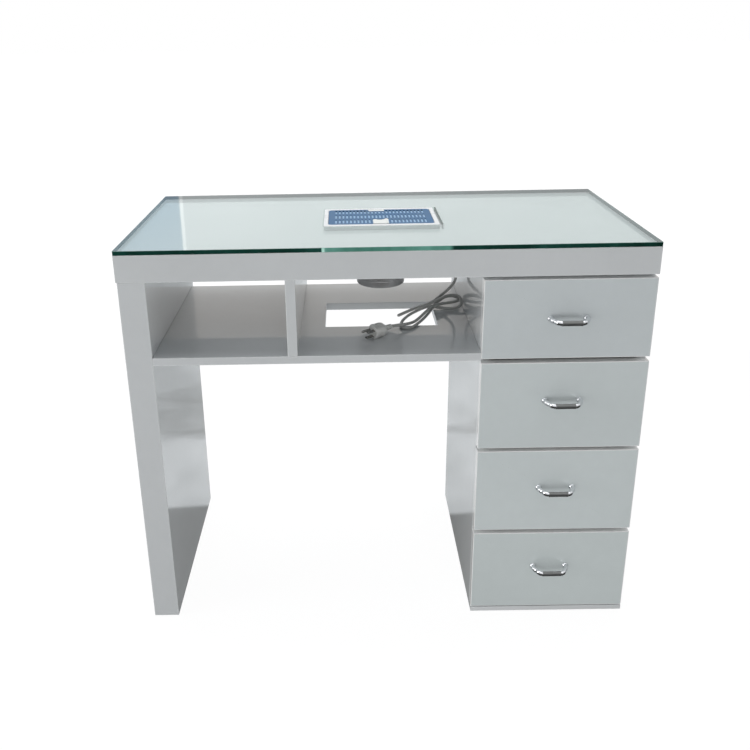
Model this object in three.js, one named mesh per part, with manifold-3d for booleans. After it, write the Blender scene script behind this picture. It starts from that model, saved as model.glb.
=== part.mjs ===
// Manicure table: a lacquered desk with a glass top, a dust vent with a fan under it, an open shelf in
// two compartments, a slab leg on the left and a pedestal of four drawers on the right.
// Millimetres. +Z up, +X to the right and +Y away from the person who opens the drawers.
// The origin is on the floor, at the centre of the footprint with the handles included.
import * as THREE from "three";
import { mergeVertices } from "three/addons/utils/BufferGeometryUtils.js";
import Module from "manifold-3d";

// ---------- driving dimensions ----------
// Pairs in square brackets are ranges, [from, to], along the axis they are named after.
const BOARD = 18; // common board thickness
const BODY_FRONT = -212.5; // front face of leg, shelf and drawer fronts
const BODY_REAR = 214; // rear face of leg and pedestal

const TOP = {
  x: [-475, 475],
  y: [-213.5, 241.5],
  underside: 714,
  thickness: 50, // built-up thickness of the wooden top
  upperBoard: 18,
  underBoard: 16,
  edgeWidth: 18, // width of the edge frame between the two boards
};
const SLAB_TOP = TOP.underside + TOP.thickness;
const UPPER_BOARD_BOTTOM = SLAB_TOP - TOP.upperBoard;
const GLASS = {
  thickness: 8,
  corner: 2.5,
  ventGap: 1, // room between the vent frame and the glass
  ventGapRight: 6, // the same on the right, where the cut-out is wider
  ventCorner: 3,
};
const GLASS_TOP = SLAB_TOP + GLASS.thickness;

const LEG = {
  x: [-473, -424],
  coreStile: 40, // width of the upright parts of the spacer frame
  coreRail: 60, // height of its level parts
};
const SHELF = { top: 570, thickness: 15, rear: 204, dividerLeft: -179 };
const SHELF_HOLE = { x: [-114, 108], y: [-68, 70] };

const FRONT_THICKNESS = 18; // drawer fronts
const PEDESTAL = {
  x: [170.5, TOP.x[1]],
  front: BODY_FRONT + FRONT_THICKNESS + 2, // front edges of the boards, behind the overlay fronts
  back: 9, // thickness of the back panel
  base: 10, // thickness of the base, which shows as a strip under the lowest front
  railDepth: 60,
};
const INNER_X = widen(PEDESTAL.x, -BOARD);

// Sizes from the centre of the vent, whose place in the top is x, y.
const VENT = { x: -2, y: 11, halfX: 111, halfY: 73, corner: 3 };
const CUTOUT = { halfX: VENT.halfX - 7, halfY: VENT.halfY - 6 }; // in the upper board
const UNDER_CUTOUT_EXTRA = 4; // the cut-out in the lower board is larger all round
const TRAY_BOTTOM = TOP.underside + 2;

// ---------- finishes ----------
const FINISHES = {
  lacquer: { color: 0xdfe5e6, roughness: 0.18 },
  glass: { color: 0xcfe0da, roughness: 0.04, transparent: true, opacity: 0.35 },
  drawerBox: { color: 0xe6e4de, roughness: 0.5 },
  drawerBottom: { color: 0xe2e0da, roughness: 0.6 },
  chrome: { color: 0xdadde0, roughness: 0.08, metalness: 1 },
  runner: { color: 0xaab0b5, roughness: 0.35, metalness: 1 },
  whitePlastic: { color: 0xf2f5f6, roughness: 0.35 },
  bluePlastic: { color: 0x2f5f9e, roughness: 0.4 },
  filter: { color: 0xe9ecec, roughness: 0.8 },
  tray: { color: 0xd5d8da, roughness: 0.45 },
  fanMetal: { color: 0x5d6266, roughness: 0.3, metalness: 0.9 },
  blackPlastic: { color: 0x1d1f21, roughness: 0.5 },
  motor: { color: 0x8a8f93, roughness: 0.4, metalness: 0.8 },
  cord: { color: 0x77797a, roughness: 0.55 },
  plug: { color: 0x8f9190, roughness: 0.45 },
  blade: { color: 0xb9a878, roughness: 0.3, metalness: 1 },
};

// ---------- ranges and outlines ----------
function widen([from, to], amount) {
  return [from - amount, to + amount];
}
function around(half, centre = 0) {
  return [centre - half, centre + half];
}
function rect([x0, x1], [y0, y1]) {
  return [[x0, y0], [x1, y0], [x1, y1], [x0, y1]];
}
function cornerArc(centreX, centreY, radius, startAngle, steps) {
  const points = [];
  for (let i = 0; i <= steps; i++) {
    const angle = startAngle + (i / steps) * (Math.PI / 2);
    points.push([centreX + radius * Math.cos(angle), centreY + radius * Math.sin(angle)]);
  }
  return points;
}
function roundedRect(rangeX, rangeY, radius, steps) {
  const [x0, x1] = widen(rangeX, -radius);
  const [y0, y1] = widen(rangeY, -radius);
  return [
    ...cornerArc(x1, y0, radius, -Math.PI / 2, steps),
    ...cornerArc(x1, y1, radius, 0, steps),
    ...cornerArc(x0, y1, radius, Math.PI / 2, steps),
    ...cornerArc(x0, y0, radius, Math.PI, steps),
  ];
}
function ellipse(radiusX, radiusY, segments, centreX = 0, centreY = 0) {
  const points = [];
  for (let i = 0; i < segments; i++) {
    const angle = (2 * Math.PI * i) / segments;
    points.push([centreX + radiusX * Math.cos(angle), centreY + radiusY * Math.sin(angle)]);
  }
  return points;
}

// ---------- geometry ----------
const vectors = (points) => points.map(([x, y]) => new THREE.Vector2(x, y));
const shapeFrom = (points) => new THREE.Shape(vectors(points));
const shift = (x, y, z) => new THREE.Matrix4().makeTranslation(x, y, z);
const turnZ = (angle) => new THREE.Matrix4().makeRotationZ(angle);
const lathe = (profile, segments) => new THREE.LatheGeometry(vectors(profile), segments);

// An outline in x, y, extruded up from z = 0.
function plate(outline, thickness, holes = []) {
  const shape = shapeFrom(outline);
  shape.holes = holes.map(shapeFrom);
  return new THREE.ExtrudeGeometry(shape, { depth: thickness, bevelEnabled: false });
}

const boxSize = (ranges) => ranges.map(([from, to]) => to - from);
const boxCentre = (ranges) => ranges.map(([from, to]) => (from + to) / 2);

const wasm = await Module();
wasm.setup();

// Closed geometry, moved by an optional matrix, as a solid.
function solid(geometry, matrix) {
  const bare = geometry.clone();
  if (matrix) bare.applyMatrix4(matrix);
  bare.deleteAttribute("normal");
  bare.deleteAttribute("uv");
  const merged = mergeVertices(bare, 1e-4);
  return new wasm.Manifold(
    new wasm.Mesh({
      numProp: 3,
      vertProperties: new Float32Array(merged.attributes.position.array),
      triVerts: new Uint32Array(merged.index.array),
    }),
  );
}
function geometryOf(manifold) {
  const mesh = manifold.getMesh();
  const geometry = new THREE.BufferGeometry();
  geometry.setAttribute("position", new THREE.BufferAttribute(mesh.vertProperties, 3));
  geometry.setIndex(new THREE.BufferAttribute(mesh.triVerts, 1));
  const flat = geometry.toNonIndexed();
  flat.computeVertexNormals();
  return flat;
}
const join = (...parts) => parts.reduce((whole, part) => whole.add(part));
const cut = (body, ...parts) => parts.reduce((rest, part) => rest.subtract(part), body);
const boxSolid = (...ranges) =>
  solid(new THREE.BoxGeometry(...boxSize(ranges)), shift(...boxCentre(ranges)));

function piece(name, geometry, finish, parent, x = 0, y = 0, z = 0) {
  const mesh = new THREE.Mesh(geometry, new THREE.MeshStandardMaterial(FINISHES[finish]));
  mesh.name = name;
  mesh.position.set(x, y, z);
  parent.add(mesh);
  return mesh;
}
// A board that fills its x, y and z ranges, with its origin at its centre.
function board(name, ranges, parent, finish = "lacquer") {
  const geometry = new THREE.BoxGeometry(...boxSize(ranges));
  piece(name, geometry, finish, parent, ...boxCentre(ranges));
}

// ---------- top ----------
function buildTop() {
  const top = new THREE.Group();
  const ventX = around(VENT.halfX, VENT.x);
  const ventY = around(VENT.halfY, VENT.y);
  const glassHole = roundedRect(
    [ventX[0] - GLASS.ventGap, ventX[1] + GLASS.ventGapRight],
    widen(ventY, GLASS.ventGap),
    GLASS.ventCorner,
    2,
  );
  const glassOutline = roundedRect(TOP.x, TOP.y, GLASS.corner, 3);
  const glass = plate(glassOutline, GLASS.thickness, [glassHole]);
  piece("glass_top", glass, "glass", top, 0, 0, SLAB_TOP);

  // the wooden slab: two boards with an edge frame between them
  const slab = rect(TOP.x, TOP.y);
  const holeX = around(CUTOUT.halfX, VENT.x);
  const holeY = around(CUTOUT.halfY, VENT.y);
  const upper = plate(slab, TOP.upperBoard, [rect(holeX, holeY)]);
  piece("top_panel", upper, "lacquer", top, 0, 0, UPPER_BOARD_BOTTOM);

  const frameHeight = TOP.thickness - TOP.upperBoard - TOP.underBoard;
  const frameHole = rect(widen(TOP.x, -TOP.edgeWidth), widen(TOP.y, -TOP.edgeWidth));
  const frameBottom = TOP.underside + TOP.underBoard;
  const frame = plate(slab, frameHeight, [frameHole]);
  piece("top_edge_frame", frame, "lacquer", top, 0, 0, frameBottom);

  const underHole = rect(widen(holeX, UNDER_CUTOUT_EXTRA), widen(holeY, UNDER_CUTOUT_EXTRA));
  const under = plate(slab, TOP.underBoard, [underHole]);
  piece("top_underside_panel", under, "lacquer", top, 0, 0, TOP.underside);
  return top;
}

// ---------- left leg ----------
function buildLeg() {
  const leg = new THREE.Group();
  const coreX = widen(LEG.x, -BOARD);
  const y = [BODY_FRONT, BODY_REAR];
  const z = [0, TOP.underside];
  board("left_leg_outer_panel", [[LEG.x[0], coreX[0]], y, z], leg);
  board("left_leg_inner_panel", [[coreX[1], LEG.x[1]], y, z], leg);

  // spacer frame between the two boards, drawn in y, z and extruded along +X
  const hole = rect(widen(y, -LEG.coreStile), widen(z, -LEG.coreRail));
  const core = plate(rect(y, z), coreX[1] - coreX[0], [hole]);
  core.applyMatrix4(
    new THREE.Matrix4().makeBasis(
      new THREE.Vector3(0, 1, 0),
      new THREE.Vector3(0, 0, 1),
      new THREE.Vector3(1, 0, 0),
    ),
  );
  piece("left_leg_core_frame", core, "lacquer", leg, coreX[0]);
  return leg;
}

// ---------- shelf ----------
function buildShelf() {
  const shelf = new THREE.Group();
  const y = [BODY_FRONT, SHELF.rear];
  const outline = rect([LEG.x[1], PEDESTAL.x[0]], y);
  const panel = plate(outline, SHELF.thickness, [rect(SHELF_HOLE.x, SHELF_HOLE.y)]);
  piece("shelf_board", panel, "lacquer", shelf, 0, 0, SHELF.top - SHELF.thickness);
  const dividerX = [SHELF.dividerLeft, SHELF.dividerLeft + BOARD];
  board("shelf_divider", [dividerX, y, [SHELF.top, TOP.underside]], shelf);
  return shelf;
}

// ---------- drawers ----------
// From the top: z ranges of the front and the box, z of the handle and of the runners.
const DRAWERS = [
  { front: [558, 708], box: [574, 688], handle: 634.5, runner: 622 },
  { front: [375, 549.5], box: [391, 527], handle: 473.5, runner: 449 },
  { front: [194, 368], box: [210, 346], handle: 289, runner: 268 },
  { front: [12, 186], box: [30, 164], handle: 108.5, runner: 88 },
];
const BOX_WALL = 12;
const BOX_DEPTH = 350;
const BOTTOM_PANEL = {
  thickness: 4,
  height: 10, // underside above the lower edge of the walls
  grooveDepth: 5,
  tongue: 4.5, // how far the panel enters the groove
  gap: 0.25, // room in the groove above and below the panel
};
const RUNNER = {
  length: 350, // nominal; each member is a little shorter
  gap: 12.5, // side room taken by one pair of members
  endGap: 2,
  sheet: 1.25,
  channelDepth: 10.5,
  channelHalfHeight: 17.5,
  channelLip: 3,
  webHalfHeight: 11,
  flangeHalfHeight: 9.5,
  flangeTip: 4.5, // from the cabinet side
};
const HANDLE = {
  centres: 64, // fixing centres
  reach: 29, // how far it stands out
  grip: 38, // straight part
  sectionDepth: 7,
  sectionHeight: 9,
  sectionSides: 8,
  steps: 22,
};
// Radius and distance from the drawer front.
const HANDLE_FOOT_PROFILE = [[0, 0], [6.25, 0], [6.25, 2], [5, 4.5], [0, 6]];

// Centre line of the bow handle in x, y: straights joined by bends.
function handlePath() {
  const half = HANDLE.centres / 2;
  const grip = HANDLE.grip / 2;
  const reach = HANDLE.reach - HANDLE.sectionDepth / 2;
  const withMirror = (points) => [...points, ...points.map(([x, y]) => [-x, y]).reverse()];
  const nodes = vectors(
    withMirror([
      [-half, 0],
      [-half, -9],
      [-half + 3, -15.5],
      [-grip - 4, -reach + 3],
      [-grip + 3, -reach],
    ]),
  );
  const bends = vectors(withMirror([[-half, -13], [-grip, -reach]]));
  const path = new THREE.CurvePath();
  for (let i = 0; i + 1 < nodes.length; i++) {
    const isBend = i % 2 === 1;
    path.add(
      isBend
        ? new THREE.QuadraticBezierCurve(nodes[i], bends[(i - 1) / 2], nodes[i + 1])
        : new THREE.LineCurve(nodes[i], nodes[i + 1]),
    );
  }
  return path;
}

// The bow handle, centred on its fixing line, standing out along -Y from y = 0.
function handleGeometry() {
  const { steps, sectionSides: sides } = HANDLE;
  const path = handlePath();
  const section = ellipse(HANDLE.sectionHeight / 2, HANDLE.sectionDepth / 2, sides);
  // swept by hand along the planar path, so the section doesn't twist
  const positions = [];
  for (let i = 0; i <= steps; i++) {
    const point = path.getPointAt(i / steps);
    const tangent = path.getTangentAt(i / steps);
    // the ends stand square to the drawer front
    if (i === 0) tangent.set(0, -1);
    if (i === steps) tangent.set(0, 1);
    for (const [up, across] of section)
      positions.push(point.x - tangent.y * across, point.y + tangent.x * across, up);
  }
  const triangles = [];
  for (let i = 0; i < steps; i++)
    for (let j = 0; j < sides; j++) {
      const here = i * sides + j;
      const beside = i * sides + ((j + 1) % sides);
      triangles.push(here, here + sides, beside);
      triangles.push(beside, here + sides, beside + sides);
    }
  const last = steps * sides;
  for (let j = 1; j < sides - 1; j++) {
    triangles.push(0, j, j + 1);
    triangles.push(last, last + j + 1, last + j);
  }
  const bow = new THREE.BufferGeometry();
  bow.setAttribute("position", new THREE.Float32BufferAttribute(positions, 3));
  bow.setIndex(triangles);

  // round feet against the drawer front
  const foot = lathe(HANDLE_FOOT_PROFILE, 12);
  foot.applyMatrix4(new THREE.Matrix4().makeRotationX(Math.PI));
  const feet = around(HANDLE.centres / 2).map((x) => solid(foot, shift(x, 0, 0)));
  return geometryOf(join(solid(bow), ...feet));
}

// Runner sections in x, z; x runs from the cabinet side (0) towards the drawer.
// Cabinet member: a C channel open towards the drawer.
function cabinetMember() {
  const { channelDepth: depth, channelHalfHeight: half, channelLip: lip, sheet } = RUNNER;
  return [
    [0, -half], [depth, -half], [depth, -half + lip], [depth - sheet, -half + lip],
    [depth - sheet, -half + sheet], [sheet, -half + sheet],
    [sheet, half - sheet], [depth - sheet, half - sheet],
    [depth - sheet, half - lip], [depth, half - lip], [depth, half], [0, half],
  ];
}
// Drawer member: two flanges that run inside the cabinet member, on a web against the drawer box.
function drawerMember() {
  const { gap, flangeTip: tip, webHalfHeight: web, flangeHalfHeight: outer } = RUNNER;
  const face = gap - RUNNER.sheet;
  const inner = outer - RUNNER.sheet;
  return [
    [gap, -web], [gap, web], [face, web], [face, outer], [tip, outer], [tip, inner],
    [face, inner], [face, -inner], [tip, -inner], [tip, -outer], [face, -outer], [face, -web],
  ];
}
// A section in x, z extruded along -Y from y = 0; side = -1 mirrors it for the right.
function runnerBar(section, length, side) {
  const bar = plate(section.map(([x, z]) => [x * side, z]), length);
  bar.applyMatrix4(
    new THREE.Matrix4().makeBasis(
      new THREE.Vector3(1, 0, 0),
      new THREE.Vector3(0, 0, 1),
      new THREE.Vector3(0, -1, 0),
    ),
  );
  return bar;
}

function addRunners(number, z, drawer, pedestal) {
  const cabinetLength = RUNNER.length - RUNNER.endGap;
  const drawerLength = RUNNER.length - 2 * RUNNER.endGap;
  const cabinetRear = PEDESTAL.front + RUNNER.endGap + cabinetLength;
  const drawerRear = FRONT_THICKNESS + RUNNER.length - RUNNER.endGap;
  for (const [name, side, x] of [["left", 1, INNER_X[0]], ["right", -1, INNER_X[1]]]) {
    const outer = runnerBar(cabinetMember(), cabinetLength, side);
    piece(`cabinet_runner_${number}_${name}`, outer, "runner", pedestal, x, cabinetRear, z);
    const inner = runnerBar(drawerMember(), drawerLength, side);
    piece(`drawer_${number}_runner_${name}`, inner, "runner", drawer, x, drawerRear, z);
  }
}

function addDrawer({ front, box, handle, runner }, number, pedestal) {
  const drawer = new THREE.Group();
  drawer.position.set(0, BODY_FRONT, 0);
  pedestal.add(drawer);
  board(`drawer_${number}_front`, [PEDESTAL.x, [0, FRONT_THICKNESS], front], drawer);

  // four walls with a groove for the bottom
  const x = widen(INNER_X, -RUNNER.gap);
  const y = [FRONT_THICKNESS, FRONT_THICKNESS + BOX_DEPTH];
  const insideX = widen(x, -BOX_WALL);
  const insideY = widen(y, -BOX_WALL);
  const { grooveDepth, tongue, gap } = BOTTOM_PANEL;
  const panelBottom = box[0] + BOTTOM_PANEL.height;
  const panelZ = [panelBottom, panelBottom + BOTTOM_PANEL.thickness];
  const walls = cut(
    boxSolid(x, y, box),
    boxSolid(insideX, insideY, widen(box, 1)),
    boxSolid(widen(insideX, grooveDepth), widen(insideY, grooveDepth), widen(panelZ, gap)),
  );
  piece(`drawer_${number}_box`, geometryOf(walls), "drawerBox", drawer);
  const panel = [widen(insideX, tongue), widen(insideY, tongue), panelZ];
  board(`drawer_${number}_bottom`, panel, drawer, "drawerBottom");

  const handleX = (PEDESTAL.x[0] + PEDESTAL.x[1]) / 2;
  piece(`drawer_${number}_handle`, handleGeometry(), "chrome", drawer, handleX, 0, handle);
  addRunners(number, runner, drawer, pedestal);
}

// ---------- drawer pedestal ----------
function buildPedestal() {
  const pedestal = new THREE.Group();
  const { front } = PEDESTAL;
  const [left, right] = PEDESTAL.x;
  const [innerLeft, innerRight] = INNER_X;
  const backFace = BODY_REAR - PEDESTAL.back;
  const y = [front, BODY_REAR];
  const z = [0, TOP.underside];
  board("pedestal_left_side", [[left, innerLeft], y, z], pedestal);
  board("pedestal_right_side", [[innerRight, right], y, z], pedestal);
  board("pedestal_back_panel", [INNER_X, [backFace, BODY_REAR], z], pedestal);

  // the base lies between the sides, and its wider front edge runs across their ends
  const base = [
    [left, BODY_FRONT], [right, BODY_FRONT], [right, front], [innerRight, front],
    [innerRight, backFace], [innerLeft, backFace], [innerLeft, front], [left, front],
  ];
  piece("pedestal_bottom_panel", plate(base, PEDESTAL.base), "lacquer", pedestal);
  const railY = [front, front + PEDESTAL.railDepth];
  const railZ = [TOP.underside - BOARD, TOP.underside];
  board("pedestal_top_rail", [INNER_X, railY, railZ], pedestal);

  DRAWERS.forEach((drawer, i) => addDrawer(drawer, i + 1, pedestal));
  return pedestal;
}

// ---------- dust vent ----------
// x and y from the centre of the vent, heights from the floor.
const LEDGE = GLASS_TOP - 4; // ledge of the frame, which carries the grille
const LEDGE_GAP = 0.25; // between the ledge and the grille above it, and the filter below it
const SKIRT = { gap: 1, bottom: SLAB_TOP - 21.5, height: 22 };
const LEDGE_WIDTH = { x: 5, y: 4.5 };
const GRILLE = { halfX: 101.5, halfY: 60.5, thickness: 3.5, gap: 0.75 };
const WELL_CORNER = 8; // corner radius of the recess for the grille
const FRONT_NOTCH = { half: 16, end: -GRILLE.halfY + 42 };
const REAR_NOTCH = { x: -5.5, half: 16.5, end: GRILLE.halfY - 12 };
const TONGUE_GAP = 0.75;
const SLOT = { pitch: 7.25, width: 3.5, length: 27, point: 1.6, perRow: 25, rows: [-37, 2, 41] };
const FILTER = { halfX: 95, halfY: 53, depth: 7.75 };
const TRAY = { inset: { x: 4, y: 3 }, wall: 2, rim: 8, fanHole: 44 };

// Lies on the wood inside the glass cut-out, with a skirt into the cut-out of the boards.
function ventFrame() {
  const flange = roundedRect(around(VENT.halfX), around(VENT.halfY), VENT.corner, 2);
  const skirt = rect(around(CUTOUT.halfX - SKIRT.gap), around(CUTOUT.halfY - SKIRT.gap));
  const wellX = around(GRILLE.halfX + GRILLE.gap);
  const wellY = around(GRILLE.halfY + GRILLE.gap);
  const well = roundedRect(wellX, wellY, WELL_CORNER, 4);
  const opening = roundedRect(widen(wellX, -LEDGE_WIDTH.x), widen(wellY, -LEDGE_WIDTH.y), 4, 3);
  return cut(
    join(
      solid(plate(flange, GLASS.thickness), shift(0, 0, SLAB_TOP)),
      solid(plate(skirt, SKIRT.height), shift(0, 0, SKIRT.bottom)),
    ),
    solid(plate(well, 10), shift(0, 0, LEDGE)),
    solid(plate(opening, 40), shift(0, 0, SLAB_TOP - 30)),
  );
}

// Outline with a plain notch in the rear edge and a wavy-ended one in the front edge.
function grilleOutline() {
  const { halfX, halfY } = GRILLE;
  const radius = WELL_CORNER - GRILLE.gap;
  const arcX = halfX - radius;
  const arcY = halfY - radius;
  const [rearLeft, rearRight] = around(REAR_NOTCH.half, REAR_NOTCH.x);
  const { half, end } = FRONT_NOTCH;
  return [
    ...cornerArc(arcX, -arcY, radius, -Math.PI / 2, 4),
    ...cornerArc(arcX, arcY, radius, 0, 4),
    [rearRight, halfY], [rearRight, REAR_NOTCH.end],
    [rearLeft, REAR_NOTCH.end], [rearLeft, halfY],
    ...cornerArc(-arcX, arcY, radius, Math.PI / 2, 4),
    ...cornerArc(-arcX, -arcY, radius, Math.PI, 4),
    [-half, -halfY], [-half, end - 2], [-half + 5, end + 0.5], [-half + 11, end - 4.5],
    [half - 11, end - 2.5], [half - 6, end + 4.5], [half, end + 1.5], [half, -halfY],
  ];
}

// A slot with pointed ends.
function slotOutline(x, y0, y1) {
  const [left, right] = around(SLOT.width / 2, x);
  const { point } = SLOT;
  return [
    [left, y0 + point], [x, y0], [right, y0 + point],
    [right, y1 - point], [x, y1], [left, y1 - point],
  ];
}

// Three rows of slots, left out beside the front notch and shortened at the rear one.
function grilleSlots() {
  const slots = [];
  const [frontRow, , rearRow] = SLOT.rows;
  for (const row of SLOT.rows)
    for (let k = 0; k < SLOT.perRow; k++) {
      const x = SLOT.pitch * (k - (SLOT.perRow - 1) / 2);
      if (row === frontRow && Math.abs(x) < FRONT_NOTCH.half + 2) continue;
      const atRearNotch = row === rearRow && Math.abs(x - REAR_NOTCH.x) < REAR_NOTCH.half + 2;
      const [y0, fullEnd] = around(SLOT.length / 2, row);
      slots.push(slotOutline(x, y0, atRearNotch ? REAR_NOTCH.end - 3 : fullEnd));
    }
  return slots;
}

// Cartridge under the grille, with two tongues that fill the notches of the grille.
function ventFilter() {
  const top = LEDGE - LEDGE_GAP;
  const tongueTop = LEDGE + 3.5;
  const { half } = FRONT_NOTCH;
  const end = FRONT_NOTCH.end - TONGUE_GAP;
  const side = half - TONGUE_GAP;
  const frontTongue = [
    [-side, -FILTER.halfY], [side, -FILTER.halfY], [side, end + 1.2], [half - 6, end + 4],
    [half - 11, end - 2.8], [-half + 11, end - 4.8], [-half + 5, end], [-side, end - 2.2],
  ];
  const rearX = around(REAR_NOTCH.half - TONGUE_GAP, REAR_NOTCH.x);
  const rearStart = REAR_NOTCH.end + TONGUE_GAP;
  return join(
    boxSolid(around(FILTER.halfX), around(FILTER.halfY), [top - FILTER.depth, top]),
    solid(plate(frontTongue, tongueTop - (LEDGE - 1)), shift(0, 0, LEDGE - 1)),
    boxSolid(rearX, [rearStart, GRILLE.halfY + 0.25], [LEDGE + LEDGE_GAP, tongueTop]),
    boxSolid(rearX, [rearStart, FILTER.halfY], [LEDGE - 1, LEDGE + 1]), // neck of the rear tongue
  );
}

// Dust tray in the hollow of the top, hung from the upper board by its rim.
function collectorHousing() {
  const x = around(VENT.halfX - TRAY.inset.x);
  const y = around(VENT.halfY - TRAY.inset.y);
  const { wall, rim } = TRAY;
  const trayTop = UPPER_BOARD_BOTTOM;
  const fanHole = ellipse(TRAY.fanHole, TRAY.fanHole, 32, FAN.x, FAN.y);
  return cut(
    join(
      boxSolid(x, y, [TRAY_BOTTOM, trayTop]),
      boxSolid(widen(x, rim), widen(y, rim), [trayTop - wall, trayTop]),
    ),
    boxSolid(widen(x, -wall), widen(y, -wall), [TRAY_BOTTOM + wall, trayTop + 5]),
    solid(plate(fanHole, 10), shift(0, 0, TRAY_BOTTOM - 4)),
  );
}

// ---------- fan ----------
// x and y of its axis from the centre of the vent.
const FAN = { x: 1, y: 9, radius: 48.5, bottom: 634, wall: 1.5 };
const OUTLET = { count: 12, radius: 33, size: [18, 6, 10] };
const CORD_HOLE = { radius: 4, length: 20, at: [46, 4, 696] };
const MOTOR = { radius: 17, bore: 2.05, bossRadius: 6, top: 684, bossTop: 687 };
const IMPELLER = {
  hub: [[0, 692], [15, 692], [15, 706], [13, 708], [0, 708]], // radius, height
  shaft: [[0, 645], [2, 645], [2, 694], [0, 694]],
  blades: 7,
  bladeSize: [30, 19, 1.6],
  bladeAt: [28, 0, 699.5],
  pitch: 0.6, // radians
};
const SWITCH = { z: 676, halfX: 10, halfZ: 7, gap: 0.25 };
const ROCKER = { thickness: 8.5, tilt: (6 * Math.PI) / 180 };
// x and y from the centre of the switch, y outwards.
const ROCKER_OUTLINE = [[-7, -1], [-4, -4.5], [4, -4.5], [7, -1], [7, 3.2], [0, 2], [-7, 3.2]];

// A profile of radius and height, turned about Z.
const turned = (profile, segments) =>
  solid(lathe(profile, segments), new THREE.Matrix4().makeRotationX(Math.PI / 2));

function fanHousing() {
  const { radius, wall, bottom } = FAN;
  const profile = [
    [0, bottom], [radius - 2, bottom], [radius, bottom + 2], [radius, TRAY_BOTTOM],
    [radius - wall, TRAY_BOTTOM], [radius - wall, bottom + 3], [radius - 3, bottom + wall],
    [0, bottom + wall],
  ];
  const openings = [];
  for (let k = 0; k < OUTLET.count; k++) {
    const place = turnZ((2 * Math.PI * k) / OUTLET.count).multiply(shift(OUTLET.radius, 0, bottom));
    openings.push(solid(new THREE.BoxGeometry(...OUTLET.size), place));
  }
  // cord hole through the wall, along X
  const cordHole = new THREE.CylinderGeometry(
    CORD_HOLE.radius, CORD_HOLE.radius, CORD_HOLE.length, 12,
  );
  openings.push(solid(cordHole, shift(...CORD_HOLE.at).multiply(turnZ(Math.PI / 2))));
  // switch cut-out in the rear wall
  const switchX = around(SWITCH.halfX + SWITCH.gap);
  openings.push(boxSolid(switchX, around(8, radius), around(SWITCH.halfZ + SWITCH.gap, SWITCH.z)));
  return cut(turned(profile, 40), ...openings);
}

// Motor can with a bore for the shaft, on a round pad on the floor of the housing.
function fanMotor() {
  const { radius, bore, bossRadius, top, bossTop } = MOTOR;
  const floor = FAN.bottom + FAN.wall;
  const bottom = floor + 0.5;
  const can = [
    [bore, bottom], [radius - 1, bottom], [radius, bottom + 1], [radius, top - 2],
    [radius - 2, top], [bossRadius, top], [bossRadius, bossTop], [bore, bossTop], [bore, bottom],
  ];
  const pad = [[0, floor], [9, floor], [9, floor + 3], [0, floor + 3]];
  return join(turned(can, 28), turned(pad, 28));
}

function fanImpeller() {
  const blades = [];
  for (let k = 0; k < IMPELLER.blades; k++) {
    const place = turnZ((k * 2 * Math.PI) / IMPELLER.blades)
      .multiply(shift(...IMPELLER.bladeAt))
      .multiply(new THREE.Matrix4().makeRotationX(IMPELLER.pitch));
    blades.push(solid(new THREE.BoxGeometry(...IMPELLER.bladeSize), place));
  }
  return join(turned(IMPELLER.hub, 28), turned(IMPELLER.shaft, 28), ...blades);
}

// Rocker switch in the rear wall of the fan housing, facing +Y.
function buildSwitch() {
  const group = new THREE.Group();
  group.position.set(0, FAN.radius, SWITCH.z);
  const { halfX, halfZ } = SWITCH;
  const body = cut(
    join(
      boxSolid(around(halfX), [-9, 1], around(halfZ)),
      boxSolid(around(halfX + 2), [0.5, 2.5], around(halfZ + 2)), // bezel
    ),
    boxSolid(around(halfX - 2), [-6.5, 4], around(halfZ - 2)),
  );
  piece("switch_body", geometryOf(body), "blackPlastic", group);
  const shape = plate(ROCKER_OUTLINE, ROCKER.thickness);
  const rocker = piece("switch_rocker", shape, "blackPlastic", group, 0, 0, -ROCKER.thickness / 2);
  rocker.rotation.z = -ROCKER.tilt; // the side towards -X stands out
  return group;
}

function buildFan() {
  const fan = new THREE.Group();
  fan.position.set(FAN.x, FAN.y, 0);
  piece("fan_housing", geometryOf(fanHousing()), "fanMetal", fan);
  piece("fan_motor", geometryOf(fanMotor()), "motor", fan);
  piece("fan_impeller", geometryOf(fanImpeller()), "blackPlastic", fan);
  fan.add(buildSwitch());
  return fan;
}

function buildVent() {
  const vent = new THREE.Group();
  vent.position.set(VENT.x, VENT.y, 0);
  piece("vent_frame", geometryOf(ventFrame()), "whitePlastic", vent);
  const grille = plate(grilleOutline(), GRILLE.thickness, grilleSlots());
  piece("vent_grille", grille, "bluePlastic", vent, 0, 0, LEDGE + LEDGE_GAP);
  piece("vent_filter", geometryOf(ventFilter()), "filter", vent);
  piece("collector_housing", geometryOf(collectorHousing()), "tray", vent);
  vent.add(buildFan());
  return vent;
}

// ---------- mains cord and plug ----------
const CORD_DIAMETER = 6;
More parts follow.
